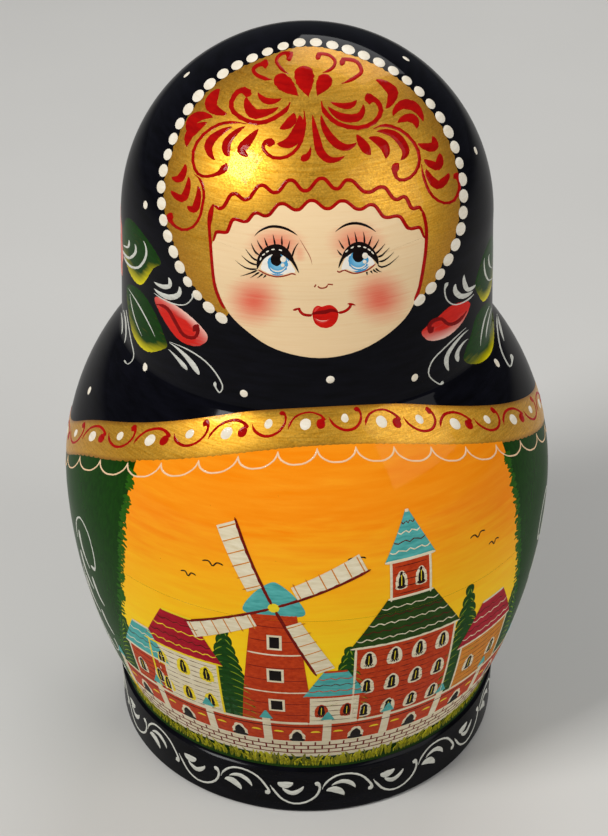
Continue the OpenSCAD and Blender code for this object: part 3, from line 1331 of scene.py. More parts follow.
@dataclass(frozen=True)
class Hem(Ornament):
    """Gold hem of the shawl with a running red scroll, and a fine scalloped edge below it."""

    name: str = "hem"
    wrap: HemWrap = HEM
    half_width: float = 6.8
    repeats: int = 17
    scallops: int = 36
    # Angle where one repeat of the scroll starts
    start_deg: float = -5.2
    scallop_depth: float = 5.2
    scroll: tuple[Stroke, ...] = strokes("""
        hook 2.4 0,-0.4 0.04,2 0.14,4.1 0.3,4.6 0.43,3 0.45,1.2
        hook 2.4 0.53,2.6 0.59,0 0.72,-1.8 0.86,-1.2 0.95,1.4 0.95,4.2 0.87,5
        """)
    # Dots after each stroke: finish, place, half width and height, and how far they stand up
    dots: tuple[tuple[tuple[Paint, Point, Point, float], ...], ...] = (
        ((RED, (0.42, 0.5), (1.7, 1.7), 0.13),),
        ((PEARL, (0.22, 0.8), (2.05, 1.95), 0.15), (PEARL, (0.74, 2.0), (1.5, 1.5), 0.15)))

    def draw(self, brush: Brush) -> None:
        """Lays the band, its scroll and the scallops.

        Args:
            brush: Where the paint goes.
        """
        round_mm = 2 * math.pi * self.wrap.girth_r
        half = self.half_width
        brush.sheet(GOLD, (180, 8), lambda u, v: np.stack([u * round_mm, (2 * v - 1) * half], axis=1),
                    lambda u, v: np.where(np.abs(2 * v - 1) > 0.99, 0.02, 0.11),
                    lambda u, v: 0.8 * np.clip(np.abs(2 * v - 1) * 4 - 3, 0, 1))
        step = round_mm / self.repeats
        for k in range(self.repeats):
            x = math.radians(self.start_deg) * self.wrap.girth_r + k * step
            for stroke, dots in zip(self.scroll, self.dots):
                brush.stroke(RED, stroke.along(x, step), 0.11, 0.1)
                for paint, (u, y), size, body in dots:
                    brush.dot(paint, (x + u * step, y), size, 0.11, body)
        width, low = round_mm / self.scallops, -half - self.scallop_depth
        bow = ((0.0, -half - 0.2), (0.08, low + 2.2), (0.3, low + 0.3), (0.5, low),
               (0.7, low + 0.3), (0.92, low + 2.2), (1.0, -half - 0.2))
        for k in range(self.scallops):
            brush.stroke(SCALLOP, line(0.58, *bow).along((k + 0.25) * width, width), 0.07, 0.08, steps=18)


@dataclass(frozen=True)
class ShawlSpots(Ornament):
    """Single white spots on the black shawl, as places in degrees and height."""

    name: str = "shawl_spots"
    wrap: GirthWrap = DEGREES
    spots: Points = path("""
        -58.8,216.6 -56.4,161.9 -18.4,167.1 6.5,173.6 32.6,168.7 69.6,156.5 -76,142.8 -88,246.8 89.8,251.5 76,226.8
        128,238 160,214 186,243 -146,224 -118,243 168,176 -164,182 140,158 -138,152 176,140 110,140 -112,146 -172,210
        150,190 -150,190
        """)
    radius: float = 1.3

    def draw(self, brush: Brush) -> None:
        """Sets down each spot as a round drop of paint.

        Args:
            brush: Where the paint goes.
        """
        for degrees, z in self.spots:
            girth = FORM.radius(z)
            size = (math.degrees(self.radius / girth), self.radius * min(1.0, girth / FORM.head_r))
            brush.dot(PEARL, (degrees, z), size, 0.0, 0.2, steps=12)


@dataclass(frozen=True)
class Patch:
    """A leaf: its fill, a point inside, the coloured part of its rim, and fine strokes over it."""

    outline: Points
    middle: Point
    # Place round the outline, spread, and where on the way to the edge the colour starts
    edge: tuple[float, float, float]
    veins: tuple[Stroke, ...] = ()
    vein_body: float = 0.08
    paint: Paint = LEAF_RIM
    vein_paint: Paint = WHITE
    body: float = 0.06
    rings: int = 9

    def draw(self, brush: Brush) -> None:
        """Fills the outline, then draws the fine strokes.

        Args:
            brush: Where the paint goes.
        """
        brush.blob(self.paint, self.outline, self.middle, 0.0, self.body, rings=self.rings, fade=rim(*self.edge))
        for vein in self.veins:
            brush.stroke(self.vein_paint, vein, self.body, self.vein_body)


@dataclass(frozen=True)
class Bud(Patch):
    """A bud, which is paler at its rim and has one dark line."""

    paint: Paint = BUD
    vein_paint: Paint = BUD_DARK
    body: float = 0.07
    rings: int = 8


@dataclass(frozen=True)
class Spray(Ornament):
    """Leaves and buds with loose white strokes."""

    patches: tuple[Patch, ...] = ()
    loose: tuple[Stroke, ...] = ()
    # Height of the coat that the loose strokes lie on, and how far they stand up
    base: float = 0.0
    body: float = 0.12

    def bloom(self, brush: Brush) -> None:
        """Paints what lies over the leaves: nothing, unless a spray has a flower."""

    def draw(self, brush: Brush) -> None:
        """Paints leaves and buds, a flower if there is one, then the loose strokes.

        Args:
            brush: Where the paint goes.
        """
        for patch in self.patches:
            patch.draw(brush)
        self.bloom(brush)
        for stroke in self.loose:
            brush.stroke(WHITE, stroke, self.base, self.body)


# Sprays on the shawl at the viewer's left and right
LEFT_FLOWERS = Spray("left_flowers", patches=(
    Patch(path("126,217 142,232 160.5,261 153,269 140.7,285.4 129,273 121.6,243.3"), (139, 255), (0.6, 0.18, 0.55),
          strokes("""
        leaf 3 143,240.5 146,255 139,267 130,266 124,256
        leaf 3.2 134.5,244 135,253 128.5,258 123,250
        leaf 2.4 128.5,240 128,247 123.5,245
        """)),
    Patch(path("126,285 140,290 154,311 165,338 166,348 148,352.4 135,340 128.6,318"), (146, 328), (0.68, 0.16, 0.55),
          strokes("""
        leaf 1.4 128,288 142,311 155,337
        leaf 1 130,294 134,316 142,336
        """), 0.06),
    Bud(path("153.5,298 165.6,299.4 188.5,314.7 205.8,332.6 206,342 195,346.6 178.3,340 163,319.8"), (182, 324),
        (0.27, 0.2, 0.35), strokes("""
        hook 9.5 156,304.5 167,308.5 176,323.6 183.4,335 193.7,337.7 197.5,331 192.4,327
        """))), loose=strokes("""
        leaf 5 154,282 163,286.7 169.4,285.4 167.8,277.7
        leaf 6 154,288.6 166.9,296.9 177.7,295 178.7,286.7
        hook 3.2 154,293 169.4,302.6 183.4,305 191,299.4 192.4,293
        comma 4.6 187,370 178,359.4 168,349
        comma 6 198.8,374.7 186,356.8 169.4,342.8
        hook 3.4 169.4,342 195,354 211.5,368 222,385 219.4,392.5 215.3,387.4 214.7,381.7
        leaf 1.4 121,312 122.2,325 121.6,334
        leaf 1.6 123.4,310 125.8,328 124.4,343
        hook 1.9 126,310 130,336 133.6,356 128,364 124.4,360
        """))
RIGHT_FLOWERS = Spray("right_flowers", patches=(
    Patch(path("493,234 485,250 479,267.4 474.5,285.3 477.8,295 483.4,302 490,292 493.5,270"), (484.5, 275),
          (0.68, 0.15, 0.55), strokes("""
        leaf 1.9 484,258 484.5,272 488,280 491.6,278
        leaf 1.6 489,254 489,265 492,268
        """)),
    Patch(path("489,302 476.7,314.3 470,336.6 463,360 476.7,364 487.9,357.8 493.5,345 494,321"), (481, 336),
          (0.66, 0.17, 0.55), strokes("""
        leaf 1.6 489,306 483,324 480,346
        leaf 1.4 491,308 487,326 485.6,338
        """), 0.06),
    Bud(path("468.5,301 451,305.4 434.3,320 421,332 428.7,341 445.5,337.7 460,325.4 469,309.8"), (446, 322),
        (0.62, 0.17, 0.35), strokes("""
        hook 9.5 466,311 456.6,322 447.5,324 441,318.8 432,321.5 429,327 433,331
        """))), loose=strokes("""
        leaf 5 463.9,274.7 464.5,284 467.8,289.7 475,284.7
        leaf 6 455.5,284 455.5,292 462,296.4 472.3,290.8
        hook 3.6 473.4,294 465.6,301 454.4,304.8 446.6,299.8 444.4,289.7 447.7,282.5
        hook 3.2 465.6,327.7 445.5,346.7 432,361 428.5,375 438.8,384 442.7,381
        comma 5 448.3,370.6 446.6,356.7 456.6,341 468.4,329.4
        comma 5 457.8,361.7 457.8,351 467.8,338.8
        hook 3.4 497,314 497.4,330 501,350 509,366 512,362 510.6,354
        leaf 2.2 498,316 500.4,328 504,341
        """))


@dataclass(frozen=True)
class SideRose(Spray):
    """Open rose at the side of the head, with leaves and a bud towards the back."""

    patches: tuple[Patch, ...] = (
        Patch(path("6,8 16,22 34,26 30,14 18,6"), (20, 15), (0.62, 0.2, 0.6)),
        Patch(path("6,-8 14,-22 26,-36 31,-22 20,-10"), (19, -19), (0.3, 0.2, 0.6), strokes("""
            leaf 0.9 10,10 20,16 31,24
            leaf 0.9 9,-10 18,-20 26,-33
            leaf 0.7 16,10 23,13 29,17
            """)),
        Bud(path("16,-3 26,4 38,4 42,-2 34,-7 24,-7"), (29, -1), (0.3, 0.2, 0.35), strokes("""
            hook 1.9 17,-2 26,-4 33,-4 37,0 33,1.6
            """)))
    loose: tuple[Stroke, ...] = strokes("""
        leaf 1.6 34,10 40,14 46,10
        leaf 1.9 36,-10 44,-10 48,-4
        hook 1.4 30,-16 40,-18 48,-14 50,-8 47,-7
        comma 1.8 46,-30 38,-24 31,-16
        comma 1.6 34,-42 30,-34 28,-26
        """)
    petals: int = 9
    radius: float = 13.0
    # How far out the rim's crests and troughs lie
    wave: Point = (0.93, 1.06)
    # Rings of petals: their number, how far out they lie and their width
    whorls: tuple[tuple[int, float, float], ...] = ((6, 9.4, 3.2), (5, 5.8, 2.6))
    heart: tuple[Stroke, ...] = strokes("hook 2.2 2.6,2.2 -2.2,2.6 -2.8,-1.6 1.4,-2.4 1.6,0.2")

    def bloom(self, brush: Brush) -> None:
        """Paints the rose over the leaves.

        Args:
            brush: Where the paint goes.
        """
        turns = [k * math.pi / self.petals for k in range(2 * self.petals)]
        rim_r = [self.radius * self.wave[k % 2] for k in range(2 * self.petals)]
        wavy = tuple((r * math.cos(a), r * math.sin(a)) for r, a in zip(rim_r, turns))
        brush.blob(BUD, wavy, (0, 0), 0.04, 0.07, rings=12, steps=72,
                   fade=lambda u, v: 0.55 * np.clip((v - 0.72) / 0.28, 0, 1))
        for ring, (count, reach, width) in enumerate(self.whorls):
            for k in range(count):
                turn = 2 * math.pi * k / count + 0.5 * ring
                sweep = [(reach * math.cos(turn + a), reach * math.sin(turn + a)) for a in (-0.52, 0.0, 0.52)]
                brush.stroke(BUD, leaf(width, *sweep), 0.11, 0.09, fade=lambda u, v: 0.25 + 0.75 * v)
                brush.stroke(BUD_DARK, leaf(0.8, *[(x * 0.82, y * 0.82) for x, y in sweep]), 0.12, 0.06)
        brush.stroke(BUD_DARK, self.heart[0], 0.12, 0.1)


# How far below the hem's middle line the paint of the skirt starts
UNDER_HEM = -4.0


@dataclass(frozen=True)
class SideField(Ornament):
    """Green skirt between the seam and the hem of the shawl."""

    name: str = "side_field"
    wrap: GirthWrap = DEGREES
    low_z: float = 98.0

    def draw(self, brush: Brush) -> None:
        """Lays one green ring under the hem.

        Args:
            brush: Where the paint goes.
        """
        def place(u: np.ndarray, v: np.ndarray) -> np.ndarray:
            """Flat places for places on the sheet."""
            high = HEM.height(np.radians(360 * u), np.full(len(u), UNDER_HEM))
            return np.stack([360 * u, self.low_z + v * (high - self.low_z)], axis=1)

        brush.sheet(GREEN, (160, 20), place, lambda u, v: np.full(len(u), 0.03))


@dataclass(frozen=True)
class Panel:
    """Edges of the picture on the skirt: height and angle in degrees on either side."""

    low_z: float = 22.6
    heights: tuple[float, ...] = (19.0, 30.0, 50.0, 72.0, 88.0, 105.0, 150.0)
    left_deg: tuple[float, ...] = (-66.5, -62.0, -55.0, -49.0, -47.0, -45.5, -45.0)
    right_deg: tuple[float, ...] = (75.5, 70.0, 64.0, 59.0, 57.4, 55.5, 55.0)

    def edges(self, z: np.ndarray | float) -> tuple[np.ndarray, np.ndarray]:
        """Angles of both edges at each height."""
        return np.interp(z, self.heights, self.left_deg), np.interp(z, self.heights, self.right_deg)


PANEL = Panel()


@dataclass(frozen=True)
class Sunset(Ornament):
    """Evening sky on the front of the skirt, with green dabs along its sides."""

    name: str = "sunset"
    wrap: GirthWrap = DEGREES
    dabs: int = 560
    # Heights between which the dabs lie
    dab_z: Point = (24.0, 136.0)

    def draw(self, brush: Brush) -> None:
        """Lays the sky and the leafy edge.

        Args:
            brush: Where the paint goes.
        """
        def place(u: np.ndarray, v: np.ndarray) -> np.ndarray:
            """Flat places for places on the sheet.

            Args:
                u: Places along the sheet, from 0 to 1.
                v: Places across it.

            Returns:
                One flat point for each.
            """
            top = HEM.height(np.radians(-45.0 + 100 * u), np.full(len(u), UNDER_HEM))
            z = PANEL.low_z + v * (top - PANEL.low_z)
            left, right = PANEL.edges(z)
            return np.stack([left + u * (right - left), z], axis=1)

        brush.sheet(SKY, (64, 60), place, lambda u, v: np.full(len(u), 0.05),
                    lambda u, v: 1 - np.clip((v - 0.42) / 0.44, 0, 1))
        rng = random.Random(4)
        for k in range(self.dabs):
            z = rng.uniform(*self.dab_z)
            left, right = PANEL.edges(z)
            side, edge = (-1, left) if k % 2 else (1, right)
            reach, inset = rng.uniform(0.4, 1.3), rng.uniform(-0.8, 0.6)
            x = edge - side * inset
            dab = leaf(rng.uniform(0.7, 1.5), (x + side, z), (x - side * 0.4 * reach, z + rng.uniform(-0.4, 0.4)),
                       (x - side * reach, z + rng.uniform(-0.9, 0.7)))
            brush.stroke(GREEN_DAB, dab, 0.05, 0.03, steps=6)


def box(x: float, low: float, half: float, high: float, top_half: float | None = None) -> Points:
    """Corners of an upright patch round X, which may be narrower at its top."""
    top = half if top_half is None else top_half
    return (x - half, low), (x + half, low), (x + top, high), (x - top, high)


def arch(x: float, low: float, half: float, spring: float, top: float) -> Points:
    """Outline of an arched opening round X."""
    return (x - half, low), (x + half, low), (x + half, spring), (x, top), (x - half, spring)


def level(x: float, reach: float, z: float, rise: float = 0.0) -> Points:
    """Three points from side to side of X, the middle one higher by the rise."""
    return (x - reach, z), (x, z + rise), (x + reach, z)


def upright(x: float, low: float, high: float) -> Points:
    """Three points up a line."""
    return (x, low), (x, (low + high) / 2), (x, high)


@dataclass(frozen=True)
class House:
    """Painted house: middle and foot, wall width and height, roof height and finishes."""

    at: Point
    width: float
    wall_h: float
    roof_h: float
    wall: Paint
    roof: Paint
    trim: Paint
    windows: tuple[int, int] = (2, 1)
    eaves: float = 2.0
    ridge: float = 0.45
    course_h: float = 2.4
    scale_w: float = 1.6
    # Depth of the scallops on the roof
    scale_h: float = 0.9

    def draw(self, brush: Brush, base: float) -> None:
        """Paints wall, roof, trim and windows.

        Args:
            brush: Where the paint goes.
            base: Height of the coat below.
        """
        x, y = self.at
        half, top = self.width / 2, y + self.wall_h
        eaves, tip, ridge = half + self.eaves, half * self.ridge, top + self.roof_h
        brush.quad(self.wall, box(x, y, half, top), base, 0.02, (10, 8))
        courses = int(self.wall_h / self.course_h)
        for k in range(1, courses):
            z, shift = y + k * self.wall_h / courses, 0.6 * (k % 2)
            joint = leaf(0.4, (x - half + 0.5 + shift, z), (x, z), (x + half - 1.1 + shift, z))
            brush.stroke(SHADE, joint, base + 0.03, 0.02, steps=8)
        brush.quad(self.roof, box(x, top - 0.6, eaves, ridge, tip), base, 0.04, (10, 6))
        rows = max(3, int(self.roof_h / 3))
        for k in range(1, rows):
            share = k / rows
            wide, z = eaves * (1 - share) + tip * share, top + share * self.roof_h
            count = max(3, int(wide / self.scale_w))
            scales = [(x - wide + wide * j / count, z - self.scale_h * (j % 2)) for j in range(2 * count + 1)]
            brush.stroke(self.trim if k % 2 else SHADE, line(0.42, *scales), base + 0.05, 0.03, steps=4 * count)
        for width, ends in ((1.0, level(x, eaves, top - 0.5)), (0.9, level(x, tip, ridge)),
                            (0.8, upright(x - half, y, top)), (0.8, upright(x + half, y, top))):
            brush.stroke(self.trim, line(width, *ends), base + 0.05, 0.04, steps=12)
        columns, floors = self.windows
        for i in range(columns):
            for j in range(floors):
                middle = x - half + self.width * (i + 0.5) / columns, y + self.wall_h * (j + 0.5) / floors
                self.window(brush, middle, base + 0.03)

    def window(self, brush: Brush, at: Point, base: float) -> None:
        """Paints one arched window with a light frame.

        Args:
            brush: Where the paint goes.
            at: Its middle.
            base: Height of the coat below.
        """
        x, y = at
        w, h = min(2.2, self.width / self.windows[0] * 0.28), min(3.4, self.wall_h / self.windows[1] * 0.3)
        brush.blob(self.trim, arch(x, y - h, w, y + 0.4 * h, y + 1.15 * h), at, base, 0.02, rings=2, steps=24)
        pane = arch(x, y - 0.8 * h, 0.7 * w, y + 0.34 * h, y + 0.94 * h)
        brush.blob(INK, pane, at, base + 0.015, 0.02, rings=2, steps=20)
        brush.stroke(LEMON, line(0.4, (x, y - 0.65 * h), at, (x, y + 0.6 * h)), base + 0.03, 0.02, steps=5)


@dataclass(frozen=True)
class Windmill:
    """Wooden windmill with a tapered body, a low cap and four sails."""

    at: Point
    width: float = 25.0
    height: float = 54.0
    sail: float = 31.0
    turn_deg: float = 24.0
    boards: int = 9
    # Windows: share of the height and half width
    windows: Points = ((0.2, 1.9), (0.48, 1.9), (0.76, 1.5))
    bars: int = 6

    def draw(self, brush: Brush, base: float) -> None:
        """Paints body, boards, cap, windows and sails.

        Args:
            brush: Where the paint goes.
            base: Height of the coat below.
        """
        x, y = self.at
        half, neck, top = self.width / 2, self.width * 0.27, y + self.height
        brush.quad(BRICK, box(x, y, half, top, neck), base, 0.03, (10, 16))
        for k in range(1, self.boards):
            share = k / self.boards
            paint, width = (BRICK_DARK, 0.4) if k % 3 else (CREAM, 0.8)
            board = level(x, half + (neck - half) * share, y + share * self.height, -0.5)
            brush.stroke(paint, line(width, *board), base + 0.03, 0.03, steps=10)
        cap = ((-neck - 2.4, -1), (0, -1.6), (neck + 2.4, -1), (neck, 5.5), (1.6, 10.5), (-1.6, 10.5), (-neck, 5.5))
        brush.blob(TEAL, [(x + u, top + v) for u, v in cap], (x, top + 3), base + 0.03, 0.04, rings=5)
        for share, w in self.windows:
            z = y + share * self.height
            brush.quad(CREAM, box(x, z - 3.2, w + 0.8, z + 3.2), base + 0.05, 0.02, (3, 3))
            brush.quad(INK, box(x, z - 2.4, w, z + 2.4), base + 0.065, 0.02, (3, 3))
        for k in range(4):
            self.draw_sail(brush, (x, top + 1.5), math.radians(self.turn_deg + 90 * k), base + 0.07)
        brush.dot(LEMON, (x, top + 1.5), (1.8, 1.8), base + 0.13, 0.04, steps=10)

    def draw_sail(self, brush: Brush, hub: Point, turn: float, base: float) -> None:
        """Paints one sail with its stock and bars.

        Args:
            brush: Where the paint goes.
            hub: Point that the sails turn round.
            turn: Its angle in radians.
            base: Height of the coat below.
        """
        ux, uy = math.cos(turn), math.sin(turn)

        def arm(along: float, aside: float) -> Point:
            """Point along and beside the middle line of the sail."""
            return hub[0] + ux * along - uy * aside, hub[1] + uy * along + ux * aside

        brush.quad(CREAM, (arm(8, 0.3), arm(self.sail, 0.3), arm(self.sail, 6.6), arm(8, 5.2)), base, 0.02, (8, 3))
        stock = line(1.1, arm(0, 0), arm(self.sail / 2, 0), arm(self.sail + 1, 0))
        brush.stroke(BRICK_DARK, stock, base + 0.02, 0.05, steps=10)
        for j in range(self.bars):
            along = 9 + j * (self.sail - 10) / (self.bars - 1)
            bar = line(0.45, arm(along, 0), arm(along, 3.2), arm(along, 6.4))
            brush.stroke(OCHRE, bar, base + 0.02, 0.03, steps=5)


@dataclass(frozen=True)
class FirTree:
    """Fir made of drooping strokes from the top down."""

    at: Point
    height: float
    width: float
    tiers: int = 12

    def draw(self, brush: Brush, base: float) -> None:
        """Paints the dark body, then each tier on both sides.

        Args:
            brush: Where the paint goes.
            base: Height of the coat below.
        """
        x, y = self.at
        half = self.width / 2
        low, high = y + 0.06 * self.height, y + 0.98 * self.height
        brush.quad(FIR, box(x, low, 0.7 * half, high, 0.2), base, 0.01, (4, 10))
        for k in range(self.tiers):
            share = (k + 0.6) / self.tiers
            top = y + self.height * (1.02 - share * 0.94)
            reach = half * share ** 0.8
            for side in (-reach, reach):
                bough = ((x, top + 2), (x + side * 0.5, top + 0.4), (x + side, top - 2.2 - share))
                brush.stroke(FIR, leaf(2.4 + 1.8 * share, *bough), base + 0.01, 0.04, steps=8)
                light = ((x + side * 0.2, top + 0.2), (x + side * 0.6, top - 0.7),
                         (x + side * 0.95, top - 2.0 - share))
                brush.stroke(LEMON_GREEN, leaf(0.55, *light), base + 0.04, 0.03, steps=6)


@dataclass(frozen=True)
class Village(Ornament):
    """Village at sunset on the front of the skirt: houses, a windmill, firs and a wall."""

    name: str = "village"
    wrap: GirthWrap = GirthWrap(azimuth_deg=5.0, girth_r=80.0)
    ground: float = 48.5
    # Foot of the pale plinth, foot of the brick wall and top of the wall
    plinth_z: float = 29.0
    wall_low: float = 38.0
    wall_high: float = 49.5
    reach: float = 84.0
    posts: int = 8
    blades: int = 420
    hills: int = 11
    # Firs: place, height and width
    firs: tuple[tuple[float, float, float], ...] = path("-33,46,23 6,40,21 73,34,19 -74,30,18 47,52,22")
    # Birds: place, height and half width
    birds: tuple[tuple[float, float, float], ...] = path("-36,116,3.4 -44,110,2.6 8,120,2.8 50,116,3.2 57,110,2.4")
    stones: int = 32
    stone_h: float = 2.6

    def draw(self, brush: Brush) -> None:
        """Paints from the far hills to the near grass.

        Args:
            brush: Where the paint goes.
        """
        rng = random.Random(9)
        z = self.ground
        for k in range(self.hills):
            x, tall = -80 + 16 * k, rng.uniform(8, 20)
            hill = ((x - 13, z - 5), (x + 13, z - 5), (x + 12, z - 1 + tall * 0.5), (x + 3, z + 1 + tall),
                    (x - 6, z + tall * 0.9), (x - 12, z - 1 + tall * 0.4))
            brush.blob(HILL if k % 2 else FIR, hill, (x, z + 1), 0.05, 0.02, rings=4, steps=28)
        for x, tall, wide in self.firs:
            FirTree((x, z - 2), tall, wide).draw(brush, 0.07)
        for house in (House((-49, z), 26, 27, 17, CREAM, ROOF_RED, LEMON, (3, 2)),
                      House((25, z), 34, 38, 18, BRICK, ROOF_GREEN, CREAM, (4, 3)),
                      House((25, z + 55), 13, 15, 15, BRICK, TEAL, CREAM, ridge=0.1),
                      House((-65, z), 17, 18, 13, BRICK, TEAL, CREAM),
                      House((59, z), 24, 23, 16, OCHRE, ROOF_RED, CREAM),
                      House((2, z), 17, 16, 12, CREAM, TEAL, BRICK)):
            house.draw(brush, 0.12)
        Windmill((-17, z)).draw(brush, 0.1)
        self.draw_wall(brush)
        brush.quad(GRASS, ((-100, 20.9), (102, 20.9), (100, 27.6), (-98, 27.6)), 0.16, 0.02, (80, 6))
        for _ in range(self.blades):
            x, tall = rng.uniform(-98, 100), rng.uniform(2.0, 8.0)
            lean, tint = rng.uniform(-2.4, 2.4), 0.25 + 0.75 * rng.random()
            blade = leaf(rng.uniform(0.9, 1.7), (x, 21.4), (x + 0.2 * lean, 22 + tall / 2), (x + lean, 22 + tall))
            brush.stroke(GRASS, blade, 0.18, 0.04, fade=lambda u, v: np.clip(tint * (0.4 + u), 0, 1), steps=5)
        for x, z, size in self.birds:
            wings = [(x + size * u, z + rise) for u, rise in ((-1, 0.9), (-0.4, 1.4), (0, 0), (0.4, 1.4), (1, 0.9))]
            brush.stroke(INK, line(0.5, *wings), 0.07, 0.04)

    def draw_wall(self, brush: Brush) -> None:
        """Paints the brick wall with its gates and posts on a plinth of pale stone.

        Args:
            brush: Where the paint goes.
        """
        reach, low, high = self.reach, self.wall_low, self.wall_high
        step = 2 * reach / self.posts
        brush.quad(CREAM, box(0, self.plinth_z - 2, reach, low), 0.13, 0.02, (80, 4))
        brush.quad(BRICK, box(0, low, reach, high), 0.14, 0.02, (80, 4))
        courses = [(BRICK_DARK, 0.6, low - self.stone_h * row) for row in (1, 2, 3)]
        for paint, width, z in ((CREAM, 1.3, high), (SHADE, 0.6, high - 2.2), (CREAM, 0.8, low), *courses):
            course = [(-reach + 2 * reach * k / 20, z) for k in range(21)]
            brush.stroke(paint, line(width, *course), 0.18, 0.04, steps=120)
        for row in range(3):
            z = low - self.stone_h * row
            for k in range(self.stones):
                x = -reach + (k + 0.5 * (row % 2) + 0.25) * 2 * reach / self.stones
                brush.stroke(BRICK_DARK, line(0.6, *upright(x, z, z - self.stone_h)), 0.18, 0.03, steps=5)
        for k in range(self.posts):
            x = -reach + (k + 0.5) * step
            frame, gate = arch(x, low, 3.4, low + 5.6, low + 9.4), arch(x, low + 0.2, 2.4, low + 5, low + 8)
            brush.blob(CREAM, frame, (x, low + 4), 0.155, 0.02, rings=2, steps=24)
            brush.blob(INK, gate, (x, low + 3.6), 0.17, 0.02, rings=2, steps=24)
            for aside in (-6.5, 6.5):
                brush.stroke(LEMON, leaf(1.3, *level(x + aside, 1.8, low + 6, 0.4)), 0.16, 0.03, steps=6)
        for k in range(self.posts + 1):
            x = -reach + k * step
            brush.quad(CREAM, box(x, low, 1.6, high + 2, 1.4), 0.16, 0.03, (3, 8))
            brush.quad(TEAL, box(x, high + 2, 2.4, high + 6.4, 0.3), 0.16, 0.04, (3, 3))


@dataclass(frozen=True)
class SideScroll(Spray):
    """White scroll of curls and comma leaves down the green side of the skirt."""

    loose: tuple[Stroke, ...] = strokes("""
        hook 1.7 -8,18 -7.5,25 -2,30 4.5,28 7.5,21 7,14.5 3.5,13.5
        comma 2.6 -5,23 -3.5,16 2,11
        comma 2.8 -7,13 -4.5,6 1.5,1.5
        comma 2.4 2.5,8 5,2 9,-1
        comma 2.4 -6.5,2 -4,-5 2,-9
        hook 1.5 -8,6 -8.5,-6 -4,-18 4,-25 8.5,-22 7.5,-17.5
        comma 2.2 4,-6 6,-11 10,-14
        comma 2 -3,-24 -1,-31 4,-36
        leaf 1.6 8,-29 10,-34 10,-40
        leaf 1.4 0,-38 2,-43 1,-47
        """)
    base: float = 0.03


@dataclass(frozen=True)
class FootScroll(Ornament):
    """White running scroll on the black foot ring."""

    name: str = "foot_scroll"
    wrap: GirthWrap = GirthWrap(azimuth_deg=-25.6, height=11.6, girth_r=70.0)
    repeats: int = 12
    scroll: tuple[Stroke, ...] = strokes("""
        hook 2.1 0,-0.2 0.05,3.4 0.145,5.9 0.27,6 0.38,4 0.455,0.4 0.485,-2 0.45,-3.4
        leaf 2 0.09,1.2 0.19,2.8 0.275,1.4 0.32,-1.2
        leaf 3.1 0.04,-1.2 0.13,-0.9 0.21,-4
        hook 2.1 0.5,0.9 0.542,-1.8 0.614,-5.3 0.723,-7.2 0.843,-6.4 0.94,-3.5 0.976,0 0.964,2 0.925,2.8
        leaf 3.3 0.575,2.6 0.64,1.6 0.72,3
        leaf 2.1 0.62,0.2 0.72,-2.1 0.82,1.4
        """)

    def draw(self, brush: Brush) -> None:
        """Lays each repeat: an arch and a hook with two leaves in each.

        Args:
            brush: Where the paint goes.
        """
        step = 2 * math.pi * self.wrap.girth_r / self.repeats
        for k in range(self.repeats):
            for stroke in self.scroll:
                brush.stroke(WHITE, stroke.along(k * step, step), 0.0, 0.12)


# Assembly


class Half(Enum):
    """Turned piece of a doll, as the end of its node's name."""

    BOTTOM = "_bottom"
    LIP = "_lip"
    TOP = "_top"
    SOLID = "_solid"

    def slot(self) -> str:
        """Name of the record's slot for the piece."""
        return "painted" + (Half.BOTTOM if self is Half.LIP else self).value


@dataclass(frozen=True)
class Turnery:
    """Turns the wooden pieces and says which finish each face has."""

    form: TurnedForm = FORM
    # The foot ring is painted black up to here
    foot_paint_z: float = 20.8
    # Undersides lie below this height, and the finished skin within this distance
    under_z: float = 0.05
    skin_t: float = 0.25
    # Edges that bend by more than this stay crisp
    crisp_deg: float = 32.0

    def section(self, half: Half) -> list[Point]:
        """Half section of a piece."""
        return {Half.BOTTOM: self.form.bottom_section, Half.LIP: self.form.lip_section,
                Half.TOP: self.form.top_section, Half.SOLID: self.form.solid_section}[half]()

    def finish(self, half: Half, r: float, z: float) -> int:
        """Index of the finish at one place: wood, shawl, skirt or foot ring.

        Args:
            half: The piece.
            r: Radius of the place.
            z: Its height.

        Returns:
            Index in the list of finishes.
        """
        if half is Half.LIP or z < self.under_z or abs(r - self.form.radius(z)) > self.skin_t:
            return 0
        if half is Half.TOP or (half is Half.SOLID and z > self.form.seam_z):
            return 1
        return 2 if z > self.foot_paint_z else 3

    def turn(self, half: Half, steps: int) -> bpy.types.Mesh:
        """Turns one piece.

        Args:
            half: The piece.
            steps: Faces round the axis.

        Returns:
            Closed mesh in millimetres on the largest doll.
        """
        mesh = bmesh.new()
        verts = [mesh.verts.new((r, 0.0, z)) for r, z in self.section(half)]
        edges = [mesh.edges.new((a, b)) for a, b in zip(verts, verts[1:]) if max(a.co.x, b.co.x) > 1e-6]
        bmesh.ops.spin(mesh, geom=verts + edges, cent=(0, 0, 0), axis=(0, 0, 1), angle=2 * math.pi, steps=steps,
                       use_merge=True)
        bmesh.ops.remove_doubles(mesh, verts=mesh.verts[:], dist=WELD)
        bmesh.ops.recalc_face_normals(mesh, faces=mesh.faces[:])
        for face in mesh.faces:
            middle = face.calc_center_median()
            outer_r = math.hypot(middle.x, middle.y) / math.cos(math.pi / steps)
            face.material_index = self.finish(half, outer_r, middle.z)
            face.smooth = True
        made = bpy.data.meshes.new(half.name.lower())
        mesh.to_mesh(made)
        mesh.free()
        for finish in (WOOD, BLACK, GREEN, FOOT_BLACK):
            made.materials.append(finish.material())
        made.set_sharp_from_angle(angle=math.radians(self.crisp_deg))
        return made


